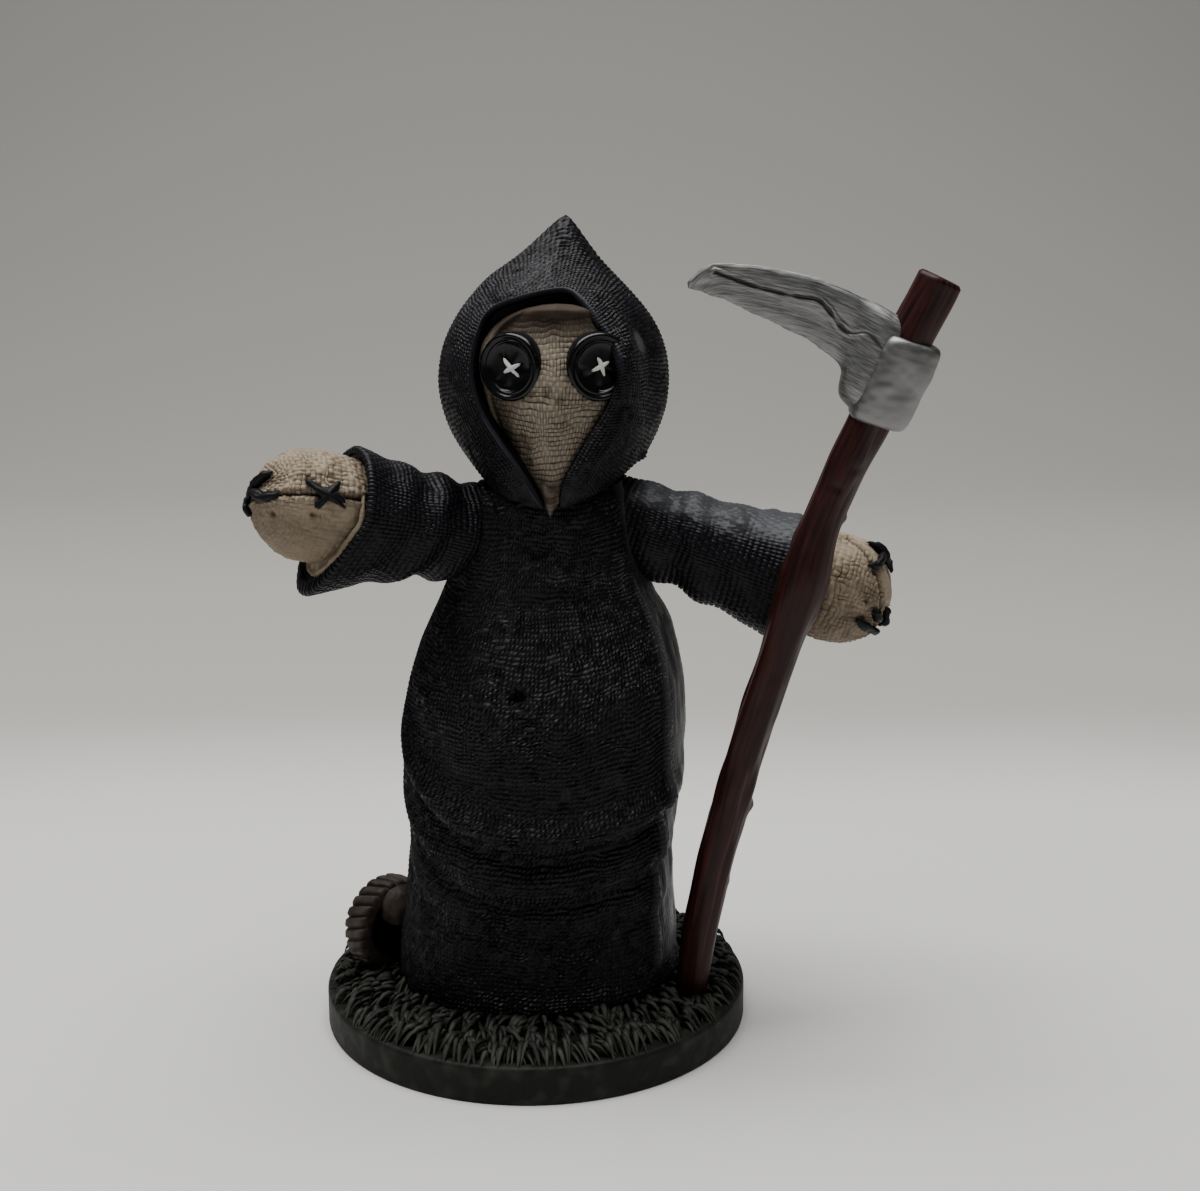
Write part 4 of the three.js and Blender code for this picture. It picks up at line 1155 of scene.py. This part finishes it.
def make_grass(settings, material):
    """Grass: rings of thick blades that start high and hang outward over the next ring.

    Down a blade, height falls as share^1.7 and the width narrows to a point. Blades next to
    each other lean the same way, since their lean is smooth noise. Round the scythe's foot they
    lie flat, and on one patch at the rim they are low.
    """
    random = np.random.default_rng(71)
    counts = (2 * np.pi * np.array(GRASS_RINGS) / settings.blade_pitch * MM).astype(int)
    count = counts.sum()
    radius = np.repeat(GRASS_RINGS, counts) + random.normal(0, 0.6, count)
    turn = np.concatenate([round_turn(n) + np.pi / n for n in counts])
    turn = turn + random.normal(0, 0.3, count) / radius
    start = radius[:, None] * points_at(np.sin(turn), -np.cos(turn), 0)
    lean = turn + rough(start, (0.9, 3.0, 72)) + random.normal(0, 0.32, count)
    clear = smoothstep(np.linalg.norm(start[:, :2] - SHAFT_STATIONS[0][:2], axis=1), 1.2, 4)
    patch = 1 - 0.75 * bell(np.linalg.norm(start[:, :2] - LOW_PATCH, axis=1), 1.6)
    height = 1.5 + rough(start, (0.55, 2.2, 73)) + random.normal(0, 0.25, count)
    length = np.clip(random.normal(3.5, 0.7, count), 1.9, 5.0) * (0.35 + 0.65 * clear)
    length = np.minimum(length, BASE_RADIUS + 0.05 - radius)[:, None]
    heading = points_at(np.sin(lean), -np.cos(lean), 0)[:, None]
    across = points_at(np.cos(lean), np.sin(lean), 0)[:, None, None]
    share = np.array([0, 0.04, 0.2, 0.42, 0.64, 0.83, 0.95, 1.0])
    path = start[:, None] + (length * share)[..., None] * heading
    # A blade bulges 0.35 of its height over that line, and dips into the ring below
    fall = share ** 1.7 - 0.35 * np.sin(np.pi * share)
    tall = (height * clear * patch)[:, None] * (1 - fall)
    path[..., 2] = BASE_HEIGHT - 0.05 + tall - 0.35 * share ** 3
    reach = np.linalg.norm(path[..., :2], axis=-1)
    path[..., :2] *= np.minimum(1, (BASE_RADIUS - 0.25) / reach)[..., None]
    width = random.uniform(0.3, 0.56, count)[:, None] * [0, 0.85, 1, 0.9, 0.68, 0.4, 0.18, 0]
    section = round_turn(7)
    ridge = 0.75 + 0.25 * np.cos(section - 0.5 * np.pi)
    grid = (
        path[:, :, None] + width[..., None, None] * np.cos(section)[:, None] * across
        + (0.85 * width[..., None] * ridge * np.sin(section))[..., None] * np.array([0, 0, 1.0])
    )
    relief = (0.5 + share)[:, None] * random.uniform(0.7, 1.25, count)[:, None, None]
    return solid("grass", grid, {"relief": relief}, material)


def make_round(material):
    """Ribbed round: blocks round a thick disc on edge, with a ring and a recess on its face.

    The rim's radius drops at each groove, and a groove's angle turns with depth. The lump on it
    is a ball with faint streaks.
    """
    per_rib = 8
    number = np.arange(ROUND_RIBS * per_rib)
    phase = (number % per_rib) / per_rib
    across, depth = np.array(ROUND_PROFILE).T[:, :, None]
    angle = 2 * np.pi * number / len(number) + ROUND_TWIST * depth / ROUND_THICKNESS
    groove = bell(np.minimum(phase, 1 - phase), 0.13) * smoothstep(across, 0.88, 0.97)
    reach = across * ROUND_RADIUS - 0.6 * groove
    grid = points_at(reach * np.sin(angle), depth - ROUND_THICKNESS / 2, reach * np.cos(angle))
    grid = grid + rough(grid, (0.07, 1.4, 81))[..., None] * unit(grid) * (across[..., None] > 0.6)
    relief = 1 - 0.85 * groove - 0.5 * smoothstep(-across, -0.7, -0.6)
    solid("ribbed_round", turned(grid, ROUND_FACING) + ROUND_PLACE, {"relief": relief},
          material)
    polar, turn = np.linspace(0, np.pi, 40)[:, None], round_turn(64)[None, :]
    ball = points_at(np.sin(polar) * np.cos(turn), np.sin(polar) * np.sin(turn), np.cos(polar))
    streak = rough(ball * [3, 3, 0.6], (0.09, 0.5, 82))
    return solid("round_lump", LUMP_PLACE + ball * (LUMP_RADIUS + streak)[..., None],
                 {"relief": 0.9 + 2 * streak}, material)


def shaft_frame(share):
    """Middle and radius of the shaft at shares of it, and unit vectors right and back of it."""
    stations = np.array(SHAFT_STATIONS)
    length = length_along(stations[:, :3])
    table = np.column_stack([length / length[-1], stations])
    state = smooth_between(table, share)
    ahead, behind = (
        smooth_between(table, np.clip(share + step, 0, 1))[..., :3] for step in (1e-3, -1e-3))
    along = unit(ahead - behind)
    right = unit(np.cross([0, 1.0, 0], along))
    return state[..., :3], state[..., 3], right, np.cross(along, right)


def make_shaft(material):
    """Shaft: a bent branch, whittled: long flats that wander, grain lines and small knots.

    The radius is the stations' radius times one plus a five-sided wave that drifts along it,
    plus noise drawn out along the branch, plus bell-shaped knots.
    """
    share = np.concatenate([[0], np.linspace(0, 1, 328), [1]])
    middle, radius, right, back = shaft_frame(share)
    share, turn = share[:, None], round_turn(84)[None, :]
    down = share * SHAFT_LENGTH
    # The branch is thicker where it passes the stub hand
    knob = 1.1 * bell(share - 0.605, 0.055) * (0.7 + 0.3 * np.cos(turn))
    round_place = points_at(3 * np.cos(turn), 3 * np.sin(turn), 0.05 * down)
    flats = 0.03 * np.cos(5 * turn + 1.6 * np.sin(down / 13) + 0.7)
    grain = rough(round_place, (0.06, 0.62, 91), (0.03, 0.3, 92))
    lumps = rough(round_place * [0.7, 0.7, 3.4], (0.24, 1.0, 93))
    knots = 0.0
    for at, toward, height, wide, tall in SHAFT_KNOTS:
        off = np.angle(np.exp(1j * (turn - toward)))
        knots = knots + height * bell(off, wide) * bell(down - at * SHAFT_LENGTH, tall)
    reach = radius[:, None] * (1 + flats) + knob + grain + lumps + knots
    reach = reach * (1 - 0.12 * smoothstep(share, 0.9965, 1.0))
    reach[[0, -1]] = 0
    grid = middle[:, None] + reach[..., None] * spokes(turn, right[:, None], back[:, None])
    relief = np.clip(0.85 + 3 * grain + 0.5 * np.minimum(knots, 0), 0, 1)
    return solid("shaft", grid, {"relief": relief, "grain": round_place},
                 material, "scythe")


def make_blade(material):
    """Blade: lines from the back curve to the edge curve, thick at the back, with a groove.

    A point's height over the blade's middle plane falls from half the thickness to the edge's
    with distance down, and a double groove follows a curve of its own. Fine brush strokes run
    along it. The tip is cut blunt, and towards the socket the root swells until it runs into
    the socket's front and back.
    """
    rows, half = 170, 72
    share = BLADE_END * np.concatenate([[0], np.linspace(0, 1, rows - 2), [1]])
    top, belly = along_points(BLADE_TOP, share), along_points(BLADE_BELLY, share)
    down = np.linspace(0, 1, half)
    front = np.append(down, down[::-1])[None, :]
    face = np.repeat([-1.0, 1.0], half)[None, :]
    flat_x, flat_z = np.moveaxis(top[:, None] + (belly - top)[:, None] * front[..., None], -1, 0)
    bevel = smooth_between(BLADE_BEVEL, front[0])[:, 0]
    at_root, at_tip = BLADE_THICKNESS
    thick = at_root + (at_tip - at_root) * share[:, None] ** 1.5
    line_x, line_z = along_points(BLADE_GROOVE, np.linspace(0, 1, 160)).T
    off = np.min(np.hypot(flat_x[..., None] - line_x, flat_z[..., None] - line_z), axis=-1)
    place = points_at(flat_x, 0, flat_z)
    off = off + rough(place, (0.12, 1.2, 94))
    groove = 0.34 * bell(off, 0.2) + 0.05 * bell(off - 0.7, 0.16) - 0.1 * bell(off - 0.4, 0.2)
    width = np.linalg.norm(belly - top, axis=1)[:, None]
    grain_place = points_at(1.8 * share[:, None], front * width, face)
    strokes = rough(grain_place, (0.02, 0.3, 95), (0.015, 0.17, 99))
    bulk = 0.5 * thick * bevel * smoothstep(width, 0, 1.2) + strokes - groove * (face < 0)
    bulk = np.maximum(bulk, 0.12)
    seat, _, right, _ = shaft_frame(0.5 * (SOCKET_FROM + SOCKET_TO))
    beside = (flat_x - seat[0]) * right[0] + (flat_z - seat[2]) * right[2]
    inner = 1 - np.clip(2 * front - 1, -1, 1) ** 6
    bulk = bulk + (ROOT_SWELL - bulk) * smoothstep(beside, -8.0, -3.5) * inner
    ragged = smoothstep(front, 0.8, 1) + 0.4 * smoothstep(-front, -0.1, 0)
    wavy = rough(place, (0.16, 1.6, 96), (0.07, 0.5, 90)) * ragged
    grid = points_at(flat_x, BLADE_Y + face * bulk, flat_z + wavy)
    # The groove on the front face is painted darker: painted shade in the groove.
    relief = np.clip(1 - 3.4 * np.maximum(groove, 0) * (face < 0), 0, 1)
    return solid("blade", grid, {"relief": relief, "grain": grain_place},
                 material, "scythe")


def make_socket(material):
    """Socket: rounded square rings round the shaft, from a profile closed at both ends."""
    line = np.array(SOCKET_PROFILE)
    shares = np.linspace(0, 1, 90)
    across, height = (
        spread_along(line * [SOCKET_RADIUS, SOCKET_LENGTH], places, shares)[:, None]
        for places in line.T)
    turn = round_turn(120)[None, :]
    square = (np.abs(np.cos(turn)) ** 4 + np.abs(np.sin(turn)) ** 4) ** -0.25
    aside = SOCKET_ASIDE + across * SOCKET_RADIUS * square * np.cos(turn)
    behind = across * SOCKET_RADIUS * square * np.sin(turn)
    share = SOCKET_FROM + (SOCKET_TO - SOCKET_FROM) * height + 0.004 * aside / SOCKET_RADIUS
    middle, _, right, back = shaft_frame(share)
    grid = middle + aside[..., None] * right + behind[..., None] * back
    lumps = rough(grid, (0.16, 3, 97), (0.05, 0.9, 98)) * across
    grid = grid + lumps[..., None] * unit(grid - middle)
    grain_place = points_at(0.3 * np.cos(turn), 0.3 * np.sin(turn), 2.4 * height)
    return solid("socket", grid, {"relief": 1, "grain": grain_place},
                 material, "scythe")


def colour_property(name, description, value):
    """A colour for the panel, given as sRGB hex."""
    return bpy.props.FloatVectorProperty(
        name=name, description=description, default=linear(value), size=4, min=0, max=1,
        subtype="COLOR")


def length_property(name, description, value):
    """A length for the panel, given in millimetres."""
    return bpy.props.FloatProperty(
        name=name, description=description, default=value * MM, min=0, unit="LENGTH",
        precision=5)


class ClothSettings(bpy.types.PropertyGroup):
    """Black cast cloth of the robe, the hood and the sleeves."""

    row_depth: length_property("Row depth", "Depth of the grooves between rows of thread", 0.17)
    column_depth: length_property("Column depth", "Depth of the grooves across the rows", 0.14)
    groove: colour_property("Groove", "Paint that ran into the grooves", "#020203")
    thread: colour_property("Thread", "Paint on the tops of the threads", "#24242a")
    wash: colour_property("Wash", "Thin grey dust over the cloth", "#26262c")
    # This pale colour is also the painted reflection on the robe's strip behind the parting and
    # the painted highlight on the right sleeve's top.
    worn_and_sheen: colour_property("Worn", "Cloth that is rubbed smooth", "#47484b")


class SackingSettings(bpy.types.PropertyGroup):
    """Sackcloth of the mask and the stub hands, with the buttons and the sewing."""

    mask_groove: colour_property("Mask groove", "Brown wash in the mask's weave", "#33241a")
    mask_thread: colour_property("Mask thread", "Paint on the mask's threads", "#958b7a")
    # This brown is also painted shade under the brow's hem and above the eyes.
    mask_stain_and_shade: colour_property("Mask wash", "Brown stains on the mask", "#2c1f17")
    mask_rim: colour_property("Mask rim", "Pale raised edge of the mask", "#b1a48e")
    hand_groove: colour_property("Hand groove", "Brown wash in the hands' weave", "#463426")
    hand_thread: colour_property("Hand thread", "Paint on the hands' threads", "#9d8f7a")
    # This brown is also painted shade on the hands' undersides and where they go into the sleeves.
    hand_stain_and_shade: colour_property("Hand wash", "Brown stains on the hands", "#574a3c")
    button: colour_property("Button", "Gloss paint of the buttons", "#08080a")
    button_chip: colour_property("Button chip", "Rubbed paint on a button's rims", "#303034")
    eye_thread: colour_property("Eye thread", "Thread that sews a button on", "#dedcd5")
    stitch: colour_property("Stitch", "Paint of the stitches on the hands", "#101013")


class BaseSettings(bpy.types.PropertyGroup):
    """Base, its grass, and the ribbed round on it."""

    blade_pitch: length_property("Blade pitch", "Distance from one grass blade to the next", 0.72)
    ground: colour_property("Ground", "Dark olive grey of the base", "#121310")
    tip: colour_property("Tip", "Paler olive grey on the grass tips", "#3a3b34")
    groove: colour_property("Groove", "Dark brown in the round's grooves", "#1d1410")
    block: colour_property("Block", "Grey brown of the round's blocks", "#4b433c")


class ScytheSettings(bpy.types.PropertyGroup):
    """Shaft, blade and socket of the scythe."""

    grain: colour_property("Grain", "Darkest streaks of the wood", "#180a09")
    wood: colour_property("Wood", "Maroon brown of the wood", "#46211d")
    silver_shade: colour_property("Silver shade", "Strokes that show less flake", "#4f4f50")
    silver: colour_property("Silver", "Flake of the silver paint", "#a9a9a7")


class StageSettings(bpy.types.PropertyGroup):
    """Floor, light and camera."""

    floor: colour_property("Floor", "Pale floor", "#d9d7d5")
    # The wall is darker than the floor as painted shade of the lamp's light falling off towards
    # the back.
    wall: colour_property("Wall", "Backdrop behind the floor", "#aeaca6")
    lamp_power: bpy.props.FloatProperty(
        name="Lamp power", description="Power of the soft light overhead", default=13.0, min=0,
        unit="POWER",
    )
    sky: bpy.props.FloatProperty(
        name="Sky", description="Strength of the even light from all round", default=0.07, min=0,
    )


def cloth_material(s):
    """Black acrylic over cast cloth: the eye sees pale dashes where the threads catch light."""
    return woven_paint("black painted cloth casting", s.groove, s.thread, s.wash, s.worn_and_sheen,
                       gloss=0.38, wash_amount=-0.09, fibre=0.05)


class REAPER_OT_robe(bpy.types.Operator):
    """Makes the woven robe with its folds"""

    bl_idname = "reaper.robe"
    bl_label = "Robe"

    def execute(self, context):
        s = context.scene.reaper_cloth
        make_robe(s, cloth_material(s))
        return {"FINISHED"}


class REAPER_OT_hood(bpy.types.Operator):
    """Makes the pointed hood with its face opening"""

    bl_idname = "reaper.hood"
    bl_label = "Hood"

    def execute(self, context):
        s = context.scene.reaper_cloth
        make_hood(s, cloth_material(s))
        return {"FINISHED"}


class REAPER_OT_mask(bpy.types.Operator):
    """Makes the beaked sackcloth mask, its two buttons and their threads"""

    bl_idname = "reaper.mask"
    bl_label = "Mask"

    def execute(self, context):
        s = context.scene.reaper_sacking
        # Thin brown wash over tan acrylic: lines in the weave, matt, stained at the beak's tip
        make_mask(woven_paint("tan painted sacking casting", s.mask_groove, s.mask_thread,
                              s.mask_stain_and_shade, s.mask_rim, gloss=0.66, wash_amount=0.12, fibre=0.04))
        # Black gloss enamel: sharp reflections on round rims, rubbed grey where it is thin
        enamel = plain_paint("black gloss enamel", s.button, s.button_chip, 0.2, 1.2, 0.01, 0.3)
        # Off-white acrylic on a raised strand: plain and pale against the enamel
        white = plain_paint("off-white painted thread", s.eye_thread, s.eye_thread, 0.5, 0.5, 0.02)
        make_buttons(enamel, white)
        return {"FINISHED"}


class REAPER_OT_sleeves(bpy.types.Operator):
    """Makes both wide sleeves"""

    bl_idname = "reaper.sleeves"
    bl_label = "Sleeves"

    def execute(self, context):
        s = context.scene.reaper_cloth
        for name, arm in ARMS.items():
            make_sleeve(name + "_sleeve", arm, s, cloth_material(s), name == "right")
        return {"FINISHED"}


class REAPER_OT_hands(bpy.types.Operator):
    """Makes the stub hands of sacking, a hem and their stitches"""

    bl_idname = "reaper.hands"
    bl_label = "Hands"

    def execute(self, context):
        s = context.scene.reaper_sacking
        # Cream acrylic with a thin brown wash: pale knobs, brown between them
        cream = woven_paint("cream painted sacking casting", s.hand_groove, s.hand_thread,
                            s.hand_stain_and_shade, s.hand_thread, gloss=0.62, wash_amount=0.0, fibre=0.04)
        for name, arm in ARMS.items():
            make_hand(name + "_hand", arm, cream)
        make_hem(ARMS["left"], cream)
        # Black acrylic as thick as it was brushed on: a slight gloss on each strand
        black = plain_paint("black painted stitches", s.stitch, s.stitch, 0.5, 0.8, 0.04)
        make_stitches(ARMS.values(), black)
        return {"FINISHED"}


class REAPER_OT_base(bpy.types.Operator):
    """Makes the round base, its grass and the ribbed round"""

    bl_idname = "reaper.base"
    bl_label = "Base"

    def execute(self, context):
        s = context.scene.reaper_base
        # Olive grey acrylic on resin, drybrushed: pale on tips and edges, dark between blades
        olive = plain_paint("olive painted grass casting", s.ground, s.tip, 0.58, 2.0, 0.06)
        make_base(olive)
        make_grass(s, olive)
        # Grey brown acrylic with a dark wash: the round's blocks stand out from its grooves
        make_round(plain_paint("grey brown painted casting", s.groove, s.block, 0.55, 1.6, 0.06))
        return {"FINISHED"}


class REAPER_OT_scythe(bpy.types.Operator):
    """Makes the scythe's shaft, blade and socket"""

    bl_idname = "reaper.scythe"
    bl_label = "Scythe"

    def execute(self, context):
        s = context.scene.reaper_scythe
        # Maroon brown acrylic with a satin skin over whittled grain: dark streaks along it
        make_shaft(streaked_paint("maroon painted wood casting", s.grain, s.wood, gloss=0.4,
                                  metal=0.0, streak=0.5, depth=0.08, spread=0.18))
        # Silver acrylic: fine metal flake with brush strokes, a broad soft sheen
        make_blade(streaked_paint("silver brushed paint", s.silver_shade, s.silver, gloss=0.46,
                                  metal=0.85, streak=0.12, depth=0.014, spread=0.24))
        # The same paint in one thick coat: the strokes are nearly gone, the sheen is even
        make_socket(streaked_paint("silver smooth paint", s.silver_shade, s.silver, gloss=0.44,
                                   metal=0.85, streak=0.12, depth=0.008, spread=1.0))
        return {"FINISHED"}


class REAPER_OT_stage(bpy.types.Operator):
    """Sets up the pale floor, the soft light and the camera"""

    bl_idname = "reaper.stage"
    bl_label = "Stage"

    def execute(self, context):
        scene = context.scene
        s = scene.reaper_stage

        def place(name, data):
            """An object in the scene that shows the data."""
            thing = bpy.data.objects.new(name, data)
            scene.collection.objects.link(thing)
            return thing

        # Floor that curves up into a wall: a quarter circle of 0.55 m radius
        bend = np.linspace(0, np.pi / 2, 40)
        far, radius, wide = 0.5, 0.55, 4.0
        curve = np.column_stack([far + radius * np.sin(bend), radius * (1 - np.cos(bend))])
        run = np.concatenate([[[-3.0, 0.0]], curve, [[far + radius, 4.0]]])
        points = [(x, y, z) for y, z in run for x in (-wide, wide)]
        faces = [(2 * i, 2 * i + 1, 2 * i + 3, 2 * i + 2) for i in range(len(run) - 1)]
        mesh = bpy.data.meshes.new("floor")
        mesh.from_pydata(points, [], faces)
        mesh.shade_smooth()
        # Matt card: no gloss, pale on the floor and darker up the back, a painted shade of the
        # overhead lamp's light falling off
        material, tree, at = new_material("pale matt card")
        away = add_node(tree, "SeparateXYZ", {0: at}, "Y")
        cloud = clouds(tree, at, 1 / 6, 2.0)
        depth = add_node(tree, "Math", {0: cloud, 1: 0.06, 2: away}, operation="MULTIPLY_ADD")
        share = add_node(tree, "MapRange", {"Value": depth, "From Min": 0.1, "From Max": 0.2},
                         interpolation_type="SMOOTHSTEP")
        add_shader(tree, blend(tree, share, s.floor, s.wall), 0.8, 0.5)
        mesh.materials.append(material)
        place("floor", mesh)
        lamp = bpy.data.lights.new("overhead lamp", "AREA")
        lamp.shape = "RECTANGLE"
        lamp.size, lamp.size_y = 0.9, 0.6
        lamp.energy = s.lamp_power
        over = place("overhead lamp", lamp)
        over.location = (-0.08, 0.02, 0.85)
        over.rotation_euler = (0, math.radians(-5), 0)
        scene.world = scene.world or bpy.data.worlds.new("sky")
        scene.world.use_nodes = True
        background = scene.world.node_tree.nodes.get("Background")
        background.inputs["Color"].default_value = (1, 1, 1, 1)
        background.inputs["Strength"].default_value = s.sky
        camera = bpy.data.cameras.new("camera")
        camera.sensor_fit = "HORIZONTAL"
        camera.sensor_width, camera.lens, camera.clip_start = 36.0, 51.0, 0.01
        scene.camera = place("camera", camera)
        scene.camera.matrix_world = (
            Matrix.Translation((0.009652, -0.234227, 0.111960))
            @ Matrix.Rotation(math.radians(90 - 12.0795), 4, "X")
            @ Matrix.Rotation(math.radians(-0.2978), 4, "Z")
        )
        return {"FINISHED"}


OPERATORS = (
    REAPER_OT_stage, REAPER_OT_robe, REAPER_OT_hood, REAPER_OT_mask, REAPER_OT_sleeves,
    REAPER_OT_hands, REAPER_OT_base, REAPER_OT_scythe,
)
SETTINGS = {
    "reaper_cloth": ClothSettings,
    "reaper_sacking": SackingSettings,
    "reaper_base": BaseSettings,
    "reaper_scythe": ScytheSettings,
    "reaper_stage": StageSettings,
}


class REAPER_PT_pieces(bpy.types.Panel):
    """Buttons for the pieces, over the colours and sizes that they use"""

    bl_idname = "REAPER_PT_pieces"
    bl_label = "Grim reaper doll"
    bl_space_type = "VIEW_3D"
    bl_region_type = "UI"
    bl_category = "Reaper"

    def draw(self, context):
        for operator in OPERATORS:
            self.layout.operator(operator.bl_idname)
        for name, group in SETTINGS.items():
            box = self.layout.box()
            box.label(text=group.__doc__)
            for key in group.__annotations__:
                box.prop(getattr(context.scene, name), key)


CLASSES = (*SETTINGS.values(), *OPERATORS, REAPER_PT_pieces)


def register():
    """Registers the classes, and puts each group of settings on the scene."""
    for kind in CLASSES:
        bpy.utils.register_class(kind)
    for name, group in SETTINGS.items():
        setattr(bpy.types.Scene, name, bpy.props.PointerProperty(type=group))


def unregister():
    """Takes the settings off the scene, and the classes out."""
    for name in SETTINGS:
        delattr(bpy.types.Scene, name)
    for kind in reversed(CLASSES):
        bpy.utils.unregister_class(kind)


def main():
    register()
    for operator in OPERATORS:
        group, name = operator.bl_idname.split(".")
        getattr(getattr(bpy.ops, group), name)()


if __name__ == "__main__":
    main()
